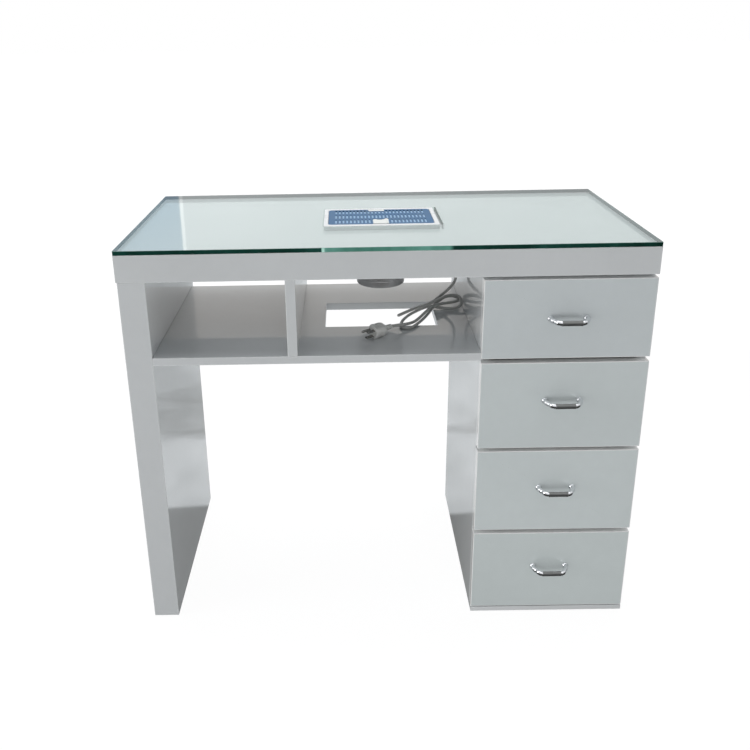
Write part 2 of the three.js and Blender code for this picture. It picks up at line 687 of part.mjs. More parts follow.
// Centre line of the cord, x, y, z, from the fan housing to the plug on the shelf.
const CORD_PATH = [
  [49.5, 26.0, 696.0], [56.6, 30.5, 699.3], [64.0, 34.9, 701.9], [71.7, 39.2, 703.8],
  [79.5, 43.4, 705.2], [87.5, 47.4, 706.1], [95.7, 51.2, 706.6], [104.0, 54.7, 706.7],
  [112.4, 57.8, 706.2], [120.9, 60.4, 705.0], [129.4, 62.1, 702.4], [137.2, 62.8, 698.0],
  [143.8, 62.5, 692.0], [148.6, 61.5, 684.5], [152.1, 60.1, 676.3], [154.4, 58.5, 667.7],
  [155.9, 57.0, 659.0], [157.0, 55.7, 650.1], [157.7, 54.9, 641.2], [157.8, 54.4, 632.2],
  [156.4, 54.2, 623.4], [152.6, 54.1, 615.3], [147.1, 53.7, 608.1], [140.7, 52.7, 601.9],
  [133.8, 50.9, 596.4], [126.7, 48.2, 591.6], [119.6, 44.5, 587.4], [112.8, 40.0, 583.8],
  [105.6, 35.3, 581.1], [98.1, 30.6, 579.4], [90.5, 25.9, 578.2], [82.9, 21.1, 577.4],
  [75.5, 16.1, 576.9], [68.2, 10.8, 576.4], [61.3, 5.1, 576.1], [54.5, -0.9, 575.7],
  [48.0, -7.0, 575.3], [41.6, -13.4, 574.9], [36.0, -20.4, 575.1], [33.1, -28.6, 576.9],
  [36.1, -35.6, 581.0], [43.9, -36.1, 584.8], [51.6, -31.8, 586.5], [58.5, -26.1, 587.2],
  [65.4, -20.3, 587.6], [72.5, -14.7, 587.9], [79.6, -9.2, 588.2], [86.8, -3.9, 588.5],
  [94.1, 1.4, 589.0], [101.3, 6.8, 589.6], [108.3, 12.5, 590.3], [114.9, 18.5, 590.9],
  [121.0, 25.1, 591.2], [126.6, 32.2, 591.3], [132.3, 39.1, 591.3], [138.8, 45.4, 591.3],
  [146.4, 50.1, 591.1], [155.2, 51.2, 590.5], [163.1, 47.4, 589.5], [166.7, 39.8, 586.9],
  [166.9, 31.4, 583.7], [166.3, 23.0, 580.7], [161.6, 15.9, 578.0], [153.6, 12.5, 576.1],
  [144.7, 12.1, 575.0], [135.9, 13.8, 574.8], [127.5, 16.9, 574.9], [119.3, 20.7, 575.1],
  [110.8, 23.6, 575.4], [102.0, 23.2, 576.5], [93.7, 19.8, 576.2], [86.3, 14.8, 575.6],
  [79.5, 8.9, 575.1], [73.1, 2.5, 574.8], [67.1, -4.2, 574.6], [61.5, -11.2, 574.5],
  [56.3, -18.5, 574.4], [51.5, -26.2, 574.3], [47.2, -34.1, 574.1], [43.3, -42.2, 574.0],
  [39.9, -50.5, 573.8], [37.2, -59.1, 573.5], [35.2, -67.9, 573.2], [34.4, -76.8, 573.2],
  [36.4, -85.6, 573.2], [43.2, -90.9, 573.2], [51.7, -89.1, 573.2], [58.1, -82.8, 573.2],
  [63.1, -75.4, 573.2], [67.8, -67.7, 573.4], [72.4, -59.9, 573.5], [76.7, -52.0, 573.6],
  [80.8, -44.0, 573.7], [84.7, -35.9, 574.0], [88.5, -27.8, 574.3], [92.3, -19.6, 574.7],
  [95.9, -11.4, 575.3], [99.4, -3.1, 576.0], [102.9, 5.1, 577.1], [106.7, 13.1, 578.9],
  [111.0, 20.6, 581.4], [115.6, 28.2, 582.8], [120.4, 35.8, 583.1], [125.5, 43.2, 583.5],
  [131.0, 50.2, 584.5], [137.9, 55.8, 585.5], [146.3, 59.0, 586.1], [155.2, 58.5, 585.6],
  [161.9, 53.1, 584.0], [162.9, 44.6, 582.2], [158.1, 37.3, 582.1], [150.2, 33.0, 581.8],
  [141.8, 29.8, 581.6], [133.4, 26.6, 581.6], [125.4, 22.5, 582.0], [118.2, 17.2, 582.5],
  [111.9, 10.8, 583.2], [106.0, 4.0, 583.4], [100.4, -3.1, 583.0], [95.3, -10.5, 582.3],
  [90.5, -18.0, 581.3], [85.8, -25.6, 580.3], [81.2, -33.3, 579.3], [76.7, -41.0, 578.3],
  [72.2, -48.8, 577.6], [67.6, -56.5, 577.2], [62.7, -64.1, 577.1], [57.1, -71.1, 577.4],
  [50.9, -77.6, 578.1], [44.0, -83.3, 579.1], [36.7, -88.4, 580.2], [29.3, -93.4, 581.3],
  [21.8, -98.4, 582.2], [14.3, -103.3, 583.0],
];
const PLUG = {
  heading: Math.PI + (38 * Math.PI) / 180, // from -X, turned towards -Y
  roll: (-20 * Math.PI) / 180,
  cordGap: 0.3, // between the end of the cord and the plug
  length: 47.5,
};
// Radius and distance from the cord end.
const PLUG_PROFILE = [
  [0, 0], [3.6, 0], [4.4, 12], [5.6, 14], [9, 18], [12.4, 25], [12.6, 46], [11.8, PLUG.length],
  [0, PLUG.length],
];
const PRONG = {
  set: 6, // length inside the body
  gap: 0.3, // room around a prong in its hole
  bladeLength: 18,
  bladeWidth: 6.25,
  bladeThickness: 1.5,
  bladeY: 4,
  bladeZ: 6.35,
  pinLength: 20,
  pinRadius: 2.4,
  pinY: -8,
};
const Y_TO_X = turnZ(-Math.PI / 2);

function powerCord() {
  const points = CORD_PATH.map((point) => new THREE.Vector3(...point));
  const curve = new THREE.CatmullRomCurve3(points, false, "centripetal");
  const section = shapeFrom(ellipse(CORD_DIAMETER / 2, CORD_DIAMETER / 2, 6));
  return new THREE.ExtrudeGeometry(section, {
    steps: 170,
    extrudePath: curve,
    bevelEnabled: false,
  });
}

// Prongs lie along x; room makes them larger all round, for their holes.
function bladeGeometry(room = 0) {
  return new THREE.BoxGeometry(
    PRONG.bladeLength + PRONG.set,
    PRONG.bladeWidth + 2 * room,
    PRONG.bladeThickness + 2 * room,
  );
}
function pinGeometry(room = 0) {
  const radius = PRONG.pinRadius + room;
  const pin = new THREE.CylinderGeometry(radius, radius, PRONG.pinLength + PRONG.set, 14);
  return pin.applyMatrix4(Y_TO_X);
}

// Moulded plug at the end of the cord; its own +X points along the prongs.
function buildPlug() {
  const plug = new THREE.Group();
  const [endX, endY, endZ] = CORD_PATH[CORD_PATH.length - 1];
  plug.position.set(
    endX + PLUG.cordGap * Math.cos(PLUG.heading),
    endY + PLUG.cordGap * Math.sin(PLUG.heading),
    endZ,
  );
  plug.rotation.set(PLUG.roll, 0, PLUG.heading, "ZYX");

  const bladeX = PLUG.length + (PRONG.bladeLength - PRONG.set) / 2;
  const pinX = PLUG.length + (PRONG.pinLength - PRONG.set) / 2;
  const prongs = [
    ["plug_blade_line", bladeGeometry, bladeX, PRONG.bladeY, PRONG.bladeZ],
    ["plug_blade_neutral", bladeGeometry, bladeX, PRONG.bladeY, -PRONG.bladeZ],
    ["plug_ground_pin", pinGeometry, pinX, PRONG.pinY, 0],
  ];
  const holes = prongs.map(([, geometry, x, y, z]) =>
    solid(geometry(PRONG.gap), shift(x - PRONG.gap, y, z)),
  );
  const body = cut(solid(lathe(PLUG_PROFILE, 18), Y_TO_X), ...holes);
  piece("plug_body", geometryOf(body), "plug", plug);
  for (const [name, geometry, x, y, z] of prongs) piece(name, geometry(), "blade", plug, x, y, z);
  return plug;
}

function buildMains() {
  const mains = new THREE.Group();
  piece("power_cord", powerCord(), "cord", mains);
  mains.add(buildPlug());
  return mains;
}

// ---------- assembly ----------
const table = new THREE.Group();
table.add(buildTop(), buildLeg(), buildShelf(), buildPedestal(), buildVent(), buildMains());

export default table;
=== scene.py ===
"""Manicure table: glass on a lacquered top, a slab leg, a shelf, a pedestal of four drawers,
and a dust vent with its filter, fan, switch and mains cord.

Metres, +Z up, same frame as the CAD. The drawer fronts face -Y, left is -X.
"""

import bmesh
import bpy
import math
import numpy as np
from mathutils import Matrix, Vector
from mathutils import noise as mnoise


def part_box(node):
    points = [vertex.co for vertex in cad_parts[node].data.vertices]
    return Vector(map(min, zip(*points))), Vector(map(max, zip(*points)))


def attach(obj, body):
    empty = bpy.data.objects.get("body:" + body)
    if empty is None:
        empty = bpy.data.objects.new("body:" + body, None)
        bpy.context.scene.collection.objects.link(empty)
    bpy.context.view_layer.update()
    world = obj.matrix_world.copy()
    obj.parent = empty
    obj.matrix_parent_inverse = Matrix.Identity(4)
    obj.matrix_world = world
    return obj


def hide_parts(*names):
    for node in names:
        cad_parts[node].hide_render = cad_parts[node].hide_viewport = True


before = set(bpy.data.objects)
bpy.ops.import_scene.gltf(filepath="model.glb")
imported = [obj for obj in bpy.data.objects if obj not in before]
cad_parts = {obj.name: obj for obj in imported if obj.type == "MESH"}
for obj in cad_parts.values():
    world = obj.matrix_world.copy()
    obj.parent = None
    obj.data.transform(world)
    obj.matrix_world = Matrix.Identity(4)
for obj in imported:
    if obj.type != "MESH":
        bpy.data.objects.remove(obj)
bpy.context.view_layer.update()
MM = 0.001
scene = bpy.context.scene


# ---------------------------------------------------------------------------
# outlines: lists of 2D points
# ---------------------------------------------------------------------------
def ccw(points):
    """The outline, turned counter-clockwise if it is not."""
    pairs = zip(points, points[1:] + points[:1])
    double_area = sum(a[0] * b[1] - b[0] * a[1] for a, b in pairs)
    return points if double_area > 0 else points[::-1]


def offset(points, distance):
    """A counter-clockwise outline moved outwards, with mitred corners."""
    moved = []
    for i, point in enumerate(points):
        here, after = Vector(point), Vector(points[(i + 1) % len(points)])
        edge_in, edge_out = here - Vector(points[i - 1]), after - here
        edge_in = (edge_in if edge_in.length > 1e-9 else edge_out).normalized()
        edge_out = edge_out.normalized() if edge_out.length > 1e-9 else edge_in
        normal = Vector((edge_in.y, -edge_in.x))
        mitre = normal + Vector((edge_out.y, -edge_out.x))
        if mitre.length < 1e-6:
            mitre = normal.copy()
        mitre.normalize()
        stretch = max(0.35, mitre.dot(normal))  # limits the spike at sharp corners
        moved.append((here.x + mitre.x * distance / stretch, here.y + mitre.y * distance / stretch))
    return moved


def arc(x, y, radius, start, sweep, steps):
    """Points along an arc; start and sweep in degrees."""
    angles = [math.radians(start + sweep * i / steps) for i in range(steps + 1)]
    return [(x + radius * math.cos(a), y + radius * math.sin(a)) for a in angles]


def ellipse(half_width, half_height, count, x=0, y=0):
    angles = [2 * math.pi * i / count for i in range(count)]
    return [(x + half_width * math.cos(a), y + half_height * math.sin(a)) for a in angles]


def rrect(x0, y0, x1, y1, radius, steps=4):
    """Rounded rectangle, counter-clockwise from its lower right corner."""
    left, right, low, high = x0 + radius, x1 - radius, y0 + radius, y1 - radius
    points = []
    for x, y, start in ((right, low, -90), (right, high, 0), (left, high, 90), (left, low, 180)):
        points += arc(x, y, radius, start, 90, steps)
    return points


def placed(points, x, y, angle=0.0):
    """An outline turned about its origin and moved to x, y."""
    c, s = math.cos(angle), math.sin(angle)
    return [(x + u * c - v * s, y + u * s + v * c) for u, v in points]


def centred(half_width, half_depth, radius, steps, x, y):
    return placed(rrect(-half_width, -half_depth, half_width, half_depth, radius, steps), x, y)


# ---------------------------------------------------------------------------
# meshes
# ---------------------------------------------------------------------------
def make(name, mesh, mats, body, nodes, smooth=True, weighted=True):
    """A bmesh becomes a named piece that rides on a body and stands for CAD nodes."""
    bmesh.ops.recalc_face_normals(mesh, faces=mesh.faces)
    data = bpy.data.meshes.new(name)
    mesh.to_mesh(data)
    mesh.free()
    for mat in mats if isinstance(mats, (list, tuple)) else [mats]:
        data.materials.append(mat)
    if smooth:
        data.polygons.foreach_set("use_smooth", [True] * len(data.polygons))
    piece = bpy.data.objects.new(name, data)
    scene.collection.objects.link(piece)
    places = np.array([v.co for v in data.vertices])
    low, high = places.min(0), places.max(0)
    # size and low corner, read by the edge masks of the materials: the painted edge highlight of the lacquers
    # and the warm edges of the melamine
    piece["bsize"] = [float(x) for x in (high - low)]
    piece["blo"] = [float(x) for x in low]
    if weighted:
        modifier = piece.modifiers.new("normals", "WEIGHTED_NORMAL")
        modifier.mode = "FACE_AREA"
        modifier.weight = 100
        modifier.keep_sharp = True
    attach(piece, body)
    if nodes:
        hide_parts(*nodes)


def oriented(axis, u, v, w):
    """A point with u, v in the outline's plane and w along the axis."""
    return {"z": (u, v, w), "x": (w, u, v), "y": (u, w, v)}[axis]


def bridge(mesh, rings, mat=0, capped=False):
    """Joins rings of equal count by quads, or by triangles where a ring is one repeated vertex."""
    for lower, upper in zip(rings[:-1], rings[1:]):
        for i in range(len(lower)):
            j = (i + 1) % len(lower)
            corners = dict.fromkeys((lower[i], lower[j], upper[j], upper[i]))
            mesh.faces.new(list(corners)).material_index = mat
    if capped:
        mesh.faces.new(rings[0])
        mesh.faces.new(rings[-1][::-1])


def plate(outline, holes, bottom, top, fillet, hole_fillet=None, seg=3, axis="z", into=None,
          mats=(0, 0, 0)):
    """A plate with rounded edges. Fillets are (lower, upper) radii; mats are the material
    indices of the faces, the outer sides and the sides of the holes."""
    mesh = into or bmesh.new()
    loops = [(outline, -1, fillet, mats[1])]
    loops += [(hole, 1, hole_fillet or fillet, mats[2]) for hole in holes]
    ends = []
    for points, sign, (lower, upper), mat in loops:
        points = ccw(points)
        rings = []
        for radius, level, way, steps in ((lower, bottom, 1, range(seg, -1, -1)),
                                          (upper, top, -1, range(seg + 1))):
            for k in steps if radius > 0 else steps[:1]:
                angle = math.radians(90 * k / seg)
                height = level + way * radius - way * radius * math.sin(angle)
                ring = offset(points, sign * radius * (1 - math.cos(angle)))
                rings.append([mesh.verts.new(oriented(axis, x, y, height)) for x, y in ring])
        bridge(mesh, rings, mat)
        ends.append((rings[0], rings[-1]))
    for cap in zip(*ends):
        if len(cap) == 1:
            mesh.faces.new(cap[0]).material_index = mats[0]
            continue
        edges = [mesh.edges.get((ring[i], ring[(i + 1) % len(ring)]))
                 for ring in cap for i in range(len(ring))]
        made = bmesh.ops.triangle_fill(mesh, use_beauty=True, use_dissolve=False, edges=edges)
        for item in made["geom"]:
            if isinstance(item, bmesh.types.BMFace):
                item.material_index = mats[0]
    return mesh


def board(low, high, axis, fillet, corner=None, seg=3, mats=(0, 0, 0)):
    """A board between two corners; axis is the way of its thickness."""
    u, v, w = {"z": (0, 1, 2), "x": (1, 2, 0), "y": (0, 2, 1)}[axis]
    outline = rrect(low[u], low[v], high[u], high[v], corner or fillet, 3)
    return plate(outline, [], low[w], high[w], (fillet, fillet), seg=seg, axis=axis, mats=mats)


def lathe(profile, count, centre=(0, 0, 0), axis="z", into=None, mat=0, closed=False):
    """Profile of (radius, height) turned about an axis. Radius 0 is a pole; closed joins
    the last point to the first."""
    mesh = into or bmesh.new()
    centre = Vector(centre)
    hand = -1 if axis == "y" else 1  # keeps the turn right-handed
    rings = []
    for radius, height in profile:
        if radius == 0:
            pole = mesh.verts.new(centre + Vector(oriented(axis, 0, 0, height)))
            rings.append([pole] * count)
        else:
            rings.append([mesh.verts.new(centre + Vector(oriented(axis, x, hand * y, height)))
                          for x, y in ellipse(radius, radius, count)])
    bridge(mesh, rings + rings[:1] if closed else rings, mat)
    return mesh


def sweep(points, section, scales):
    """A section carried along points without twisting, scaled at each, with flat ends."""
    mesh = bmesh.new()
    last = len(points) - 1
    tangents = [(points[min(last, i + 1)] - points[max(0, i - 1)]).normalized()
                for i in range(last + 1)]
    normal = Vector((0, 0, 1))
    rings = []
    for i, (point, tangent) in enumerate(zip(points, tangents)):
        if i:
            before = tangents[i - 1]
            hinge = before.cross(tangent)
            if hinge.length > 1e-9:
                turn = Matrix.Rotation(before.angle(tangent), 3, hinge.normalized())
                normal = turn @ normal
        normal = (normal - tangent * normal.dot(tangent)).normalized()
        across = tangent.cross(normal)
        scale = scales[i]
        rings.append([mesh.verts.new(point + normal * (x * scale) + across * (y * scale))
                      for x, y in section])
    bridge(mesh, rings, capped=True)
    return mesh


def between(p, q, start, end, t):
    return p * ((end - t) / (end - start)) + q * ((t - start) / (end - start))


def catmull(points, steps=5):
    """Centripetal Catmull-Rom curve through the points."""
    ends = [2 * points[0] - points[1]] + points + [2 * points[-1] - points[-2]]
    curve = []
    for i in range(1, len(ends) - 2):
        p0, p1, p2, p3 = ends[i - 1 : i + 3]
        t0 = 0.0
        t1 = t0 + (p1 - p0).length ** 0.5
        t2 = t1 + (p2 - p1).length ** 0.5
        t3 = t2 + (p3 - p2).length ** 0.5
        for k in range(steps):
            t = t1 + (t2 - t1) * k / steps
            a1 = between(p0, p1, t0, t1, t)
            a2 = between(p1, p2, t1, t2, t)
            a3 = between(p2, p3, t2, t3, t)
            b1 = between(a1, a2, t0, t2, t)
            b2 = between(a2, a3, t1, t3, t)
            curve.append(between(b1, b2, t1, t2, t))
    return curve + [points[-1]]


def transform(mesh, matrix):
    bmesh.ops.transform(mesh, matrix=matrix, verts=mesh.verts)
    return mesh


def merge(mesh, part):
    """Adds a bmesh to another and frees it."""
    data = bpy.data.meshes.new("tmp")
    part.to_mesh(data)
    part.free()
    mesh.from_mesh(data)
    bpy.data.meshes.remove(data)


def facing(direction):
    """The turn that takes +Z to the direction."""
    return Vector((0, 0, 1)).rotation_difference(Vector(direction)).to_matrix().to_4x4()


def add_screw(mesh, centre, direction, radius, height, mat=0):
    """Pan head with a recess, its flat side at centre, standing out along direction."""
    shape = [(0, 0), (1, 0), (1, 0.35), (0.86, 0.72), (0.55, 0.97), (0.36, 1), (0.30, 0.55),
             (0, 0.45)]
    head = lathe([(radius * r, height * h) for r, h in shape], 20, mat=mat)
    merge(mesh, transform(head, Matrix.Translation(Vector(centre)) @ facing(direction)))


# ---------------------------------------------------------------------------
# shader nodes
# ---------------------------------------------------------------------------
class Shader:
    """Builds the node tree of a material or of the world."""

    def __init__(self, owner, output="ShaderNodeOutputMaterial"):
        self.owner = owner
        owner.use_nodes = True
        self.tree = owner.node_tree
        self.tree.nodes.clear()
        self.output = self.node(output)

    def node(self, kind, inputs=None, **settings):
        """A new node; inputs maps its sockets to values or to the sockets that feed them."""
        made = self.tree.nodes.new(kind)
        for key, value in settings.items():
            setattr(made, key, value)
        for key, value in (inputs or {}).items():
            socket = made.inputs[key]
            if isinstance(value, bpy.types.NodeSocket):
                self.tree.links.new(value, socket)
            else:
                socket.default_value = (*value, 1) if socket.type == "RGBA" else value
        return made

    def math(self, operation, a, b, **settings):
        return self.node("ShaderNodeMath", {0: a, 1: b}, operation=operation, **settings).outputs[0]

    def add(self, a, b):
        return self.math("ADD", a, b)

    def times(self, first, *others):
        for other in others:
            first = self.math("MULTIPLY", first, other)
        return first

    def inverse(self, value):
        return self.math("SUBTRACT", 1.0, value)

    def weigh(self, a, b, shares):
        return self.add(self.times(a, shares[0]), self.times(b, shares[1]))

    def vector(self, operation, a, b):
        return self.node("ShaderNodeVectorMath", {0: a, 1: b}, operation=operation).outputs[0]

    def axes(self, vector):
        return self.node("ShaderNodeSeparateXYZ", {0: vector}).outputs

    def coords(self, kind="Object"):
        return self.node("ShaderNodeTexCoord").outputs[kind]

    def mapped(self, vector, **inputs):
        return self.node("ShaderNodeMapping", {"Vector": vector, **inputs}).outputs[0]

    def noise(self, vector, scale, detail=4, rough=0.55):
        inputs = {"Vector": vector, "Scale": scale, "Detail": detail, "Roughness": rough}
        return self.node("ShaderNodeTexNoise", inputs).outputs["Fac"]

    def ramp(self, value, *stops):
        """Colour ramp with stops of (position, colour)."""
        made = self.node("ShaderNodeValToRGB", {0: value})
        elements = made.color_ramp.elements
        while len(elements) > 1:
            elements.remove(elements[-1])
        elements[0].position, elements[0].color = stops[0][0], (*stops[0][1], 1)
        for position, colour in stops[1:]:
            elements.new(position).color = (*colour, 1)
        return made.outputs[0]

    def shades(self, value, base, factors, over=(0.3, 0.7)):
        """Ramp between two multiples of a colour."""
        stops = [(at, tuple(c * k for c in base)) for at, k in zip(over, factors)]
        return self.ramp(value, *stops)

    def span(self, value, over, to=(0.0, 1.0), **settings):
        """Maps the range over onto the range to, clamped."""
        inputs = {"Value": value, "From Min": over[0], "From Max": over[1],
                  "To Min": to[0], "To Max": to[1]}
        return self.node("ShaderNodeMapRange", inputs, **settings).outputs[0]

    def smooth(self, value, start, end):
        return self.span(value, (start, end), interpolation_type="SMOOTHSTEP")

    def mix(self, factor, a, b, blend="MIX"):
        inputs = {0: factor, 6: a, 7: b}
        return self.node("ShaderNodeMix", inputs, data_type="RGBA", blend_type=blend).outputs[2]

    def mix_shader(self, factor, a, b):
        return self.node("ShaderNodeMixShader", {0: factor, 1: a, 2: b}).outputs[0]

    def bump(self, height, strength, distance):
        inputs = {"Strength": strength, "Distance": distance, "Height": height}
        return self.node("ShaderNodeBump", inputs).outputs[0]

    def transparent(self, colour):
        return self.node("ShaderNodeBsdfTransparent", {0: colour}).outputs[0]

    def principled(self, **inputs):
        inputs = {key.replace("_", " "): value for key, value in inputs.items()}
        return self.node("ShaderNodeBsdfPrincipled", inputs).outputs[0]

    def edge(self, width):
        """1 at the edges of a box-shaped piece, 0 from width inwards: the distance to the
        second nearest side."""
        low, size = (
            self.node("ShaderNodeAttribute", attribute_type="OBJECT", attribute_name=name)
            for name in ("blo", "bsize"))
        from_low = self.vector("SUBTRACT", self.coords(), low.outputs["Vector"])
        from_high = self.vector("SUBTRACT", size.outputs["Vector"], from_low)
        x, y, z = self.axes(self.vector("MINIMUM", from_low, from_high))
        lesser = self.math("MINIMUM", x, y)
        greater = self.math("MAXIMUM", x, y)
        second = self.math("MAXIMUM", lesser, self.math("MINIMUM", greater, z))
        return self.span(second, (0.0, width), to=(1.0, 0.0))

    def done(self, shader):
        self.tree.links.new(shader, self.output.inputs["Surface"])
        return self.owner


def material(name):
    return Shader(bpy.data.materials.new(name))


# ---------------------------------------------------------------------------
# materials
# ---------------------------------------------------------------------------
def lacquer(name, base=(0.600, 0.622, 0.632), edge=(0.72, 0.74, 0.745), seed=0.0):
    """Sprayed lacquer under a clear coat, with a painted highlight that makes it paler along the edges."""
    tree = material(name)
    place = tree.mapped(tree.coords(), Location=(seed, seed * 1.7, seed * 0.6))
    cloud = tree.noise(place, scale=3.2, detail=3, rough=0.5)  # slow change over a board
    mottle = tree.noise(place, scale=42, rough=0.6)
    tone = tree.weigh(cloud, mottle, shares=(0.7, 0.3))
    colour = tree.shades(tone, base, factors=(0.955, 1.03), over=(0.32, 0.68))
    # painted highlight: the edges are painted paler, towards the edge colour, in patches
    edge_patchiness = tree.span(tree.noise(place, scale=160, detail=3), over=(0.3, 0.6), to=(0.25, 0.85))
    edge_share = tree.times(tree.edge(width=0.0024), edge_patchiness)
    smear = tree.noise(place, scale=5.0, detail=2, rough=0.45)  # faint wiping marks
    dull = tree.times(edge_share, 0.10)  # the paler edges are also a little rougher
    peel = tree.noise(place, scale=420, detail=2, rough=0.5)
    wave = tree.noise(place, scale=5.5, detail=1, rough=0.3)
    relief = tree.bump(tree.weigh(peel, wave, shares=(0.02, 1.0)), strength=0.12, distance=0.0008)
    return tree.done(tree.principled(
        Base_Color=tree.mix(edge_share, colour, edge),
        Roughness=tree.add(tree.span(smear, over=(0.0, 1.0), to=(0.29, 0.36)), dull),
        IOR=1.5, Normal=relief, Specular_IOR_Level=0.2, Coat_Weight=1.0,
        Coat_Roughness=tree.span(smear, over=(0.0, 1.0), to=(0.012, 0.050)),
        Coat_IOR=1.52, Coat_Normal=relief))


def melamine(name, base=(0.70, 0.695, 0.675)):
    """Speckled board facing with warmer edges."""
    tree = material(name)
    place = tree.coords()
    speck = tree.noise(place, scale=900, detail=2, rough=0.6)
    cloud = tree.noise(place, scale=6, detail=3)
    tone = tree.weigh(speck, cloud, shares=(0.35, 0.65))
    colour = tree.shades(tone, base, factors=(0.94, 1.03))
    edge_share = tree.times(tree.edge(width=0.0016), 0.5)
    warm_edge = (0.66, 0.62, 0.55)
    return tree.done(tree.principled(
        Base_Color=tree.mix(edge_share, colour, warm_edge),
        Roughness=tree.span(cloud, over=(0.3, 0.7), to=(0.42, 0.55)),
        Normal=tree.bump(speck, strength=0.25, distance=0.0002)))


def plain(name, base, rough, vary, grain, bump, metal=0.0, coat=0.0, specular=None, streak=None):
    """Moulded plastic, paint or metal. vary is the change of tone, grain the scale of the
    surface noise and bump its strength; streak scales x, y, z for a brushed grain."""
    tree = material(name)
    place = tree.coords()
    slow = tree.noise(place, scale=18, rough=0.6)
    grain_place = tree.mapped(place, Scale=streak) if streak else place
    fine = tree.noise(grain_place, scale=grain, detail=3, rough=0.6)
    tone = tree.weigh(slow, fine, shares=(0.55, 0.45))
    patchy = tree.weigh(slow, fine, shares=(0.6, 0.4))
    inputs = dict(
        Base_Color=tree.shades(tone, base, factors=(1 - vary, 1 + vary)),
        Roughness=tree.span(patchy, over=(0.3, 0.7), to=(rough * 0.8, min(1, rough * 1.25))),
        Metallic=metal, Coat_Weight=coat,
        Normal=tree.bump(fine, strength=bump, distance=0.0002))
    if specular is not None:
        inputs["Specular_IOR_Level"] = specular
    return tree.done(tree.principled(**inputs))


def glass_face():
    """Float glass seen through its faces: a tinted clear pane with a mirror coat that grows
    at low angles."""
    tree = material("glass_clear_faces")
    place = tree.coords()
    wave = tree.noise(place, scale=9, detail=2, rough=0.4)
    haze = tree.noise(tree.mapped(place, Scale=(1, 1.6, 1)), scale=4.0, detail=2, rough=0.45)
    tint = tree.ramp(haze, (0.0, (0.958, 0.984, 0.975)), (1.0, (0.968, 0.990, 0.982)))
    relief = tree.bump(wave, strength=0.05, distance=0.0008)
    shine = tree.principled(
        Base_Color=(0.96, 0.99, 1.0), Metallic=1.0, Normal=relief,
        Roughness=tree.span(haze, over=(0.0, 1.0), to=(0.006, 0.022)))
    fresnel = tree.node("ShaderNodeFresnel", {"IOR": 1.52, "Normal": relief}).outputs[0]
    front = tree.inverse(tree.node("ShaderNodeNewGeometry").outputs["Backfacing"])
    most_mirror = 0.9
    mirror = tree.math("MULTIPLY", tree.math("MINIMUM", fresnel, most_mirror), front,
                       use_clamp=True)
    return tree.done(tree.mix_shader(mirror, tree.transparent(tint), shine))


def glass_edge():
    """Polished edge: deep green, with painted light on it: a lit stretch towards the front
    between the sides of the cut-out, a painted highlight at its left side and a painted highlight
    along its upper rim."""
    tree = material("glass_green_edge_painted_light")
    place = tree.coords()
    x, y, z = tree.axes(place)
    fine = tree.noise(tree.mapped(place, Scale=(26, 26, 3)), scale=1.0, rough=0.6)
    broad = tree.noise(tree.mapped(place, Scale=(7, 7, 1)), scale=1.0, detail=3, rough=0.5)
    waver = 0.001  # how far the noise shifts the borders, with 0.5 as its mean
    x = tree.add(x, tree.times(tree.math("SUBTRACT", broad, 0.5), waver))
    # painted light: a fixed stretch of the edge, towards the front between the sides of the cut-out, is painted
    # lit
    lit = tree.times(
        tree.span(x, over=(-0.1135, -0.1115)),
        tree.span(x, over=(0.108, 0.116), to=(1, 0)),
        tree.span(y, over=(-0.16, -0.15), to=(1, 0)))
    # painted highlight at the left end of the lit stretch
    painted_glint = tree.times(lit, tree.span(x, over=(-0.109, -0.106), to=(1, 0)))
    deep = tree.ramp(fine, (0.3, (0.002, 0.022, 0.015)), (0.6, (0.005, 0.045, 0.033)),
                     (0.88, (0.02, 0.11, 0.085)))
    bright = tree.ramp(fine, (0.25, (0.07, 0.24, 0.18)), (0.7, (0.17, 0.44, 0.36)))
    lit_share, painted_glint_colour, rim_highlight_colour = 0.8, (0.52, 0.85, 0.74), (0.30, 0.52, 0.46)
    colour = tree.mix(tree.times(lit, lit_share), deep, bright)
    colour = tree.mix(painted_glint, colour, painted_glint_colour)
    # painted highlight along the upper rim of the edge
    rim = tree.span(z, over=(0.7712, 0.7719), to=(0.0, 0.6))
    return tree.done(tree.principled(
        Base_Color=tree.mix(rim, colour, rim_highlight_colour), Roughness=0.12, IOR=1.5,
        Specular_IOR_Level=0.28, Normal=tree.bump(fine, strength=0.12, distance=0.0003)))


def glass_cut():
    """Edge of the cut-out: clear, but along its wide right side matt and grey green: a ground edge darkened by
    painted shade.
    """
    tree = material("glass_ground_edge_painted_shade")
    place = tree.coords()
    x = tree.axes(place)[0]
    fine = tree.noise(place, scale=700, detail=3, rough=0.6)
    broad = tree.noise(place, scale=30, detail=3, rough=0.6)
    tone = tree.weigh(fine, broad, shares=(0.4, 0.6))
    ground = tree.principled(
        Base_Color=tree.ramp(tone, (0.3, (0.36, 0.40, 0.38)), (0.7, (0.48, 0.52, 0.50))),
        Roughness=0.55, Normal=tree.bump(fine, strength=0.3, distance=0.0002))
    tint = tree.ramp(broad, (0.3, (0.95, 0.985, 0.97)), (0.7, (0.97, 1.0, 0.985)))
    # painted shade: the wide right side is a ground edge painted a darkened grey green
    matt = tree.span(x, over=(0.1120, 0.1135), to=(0.04, 0.95))
    return tree.done(tree.mix_shader(matt, tree.transparent(tint), ground))


LACQ = lacquer("lacquer_white_top")
LACQ_LEG = lacquer("lacquer_white_leg", seed=3.1)
LACQ_SHELF = lacquer("lacquer_white_shelf", seed=5.7)
# painted light: the pedestal's boards are painted a lighter tone than the other lacquered boards
LACQ_PED_LIT = lacquer("lacquer_white_pedestal_painted_lighter", base=(0.670, 0.690, 0.697), seed=9.2)
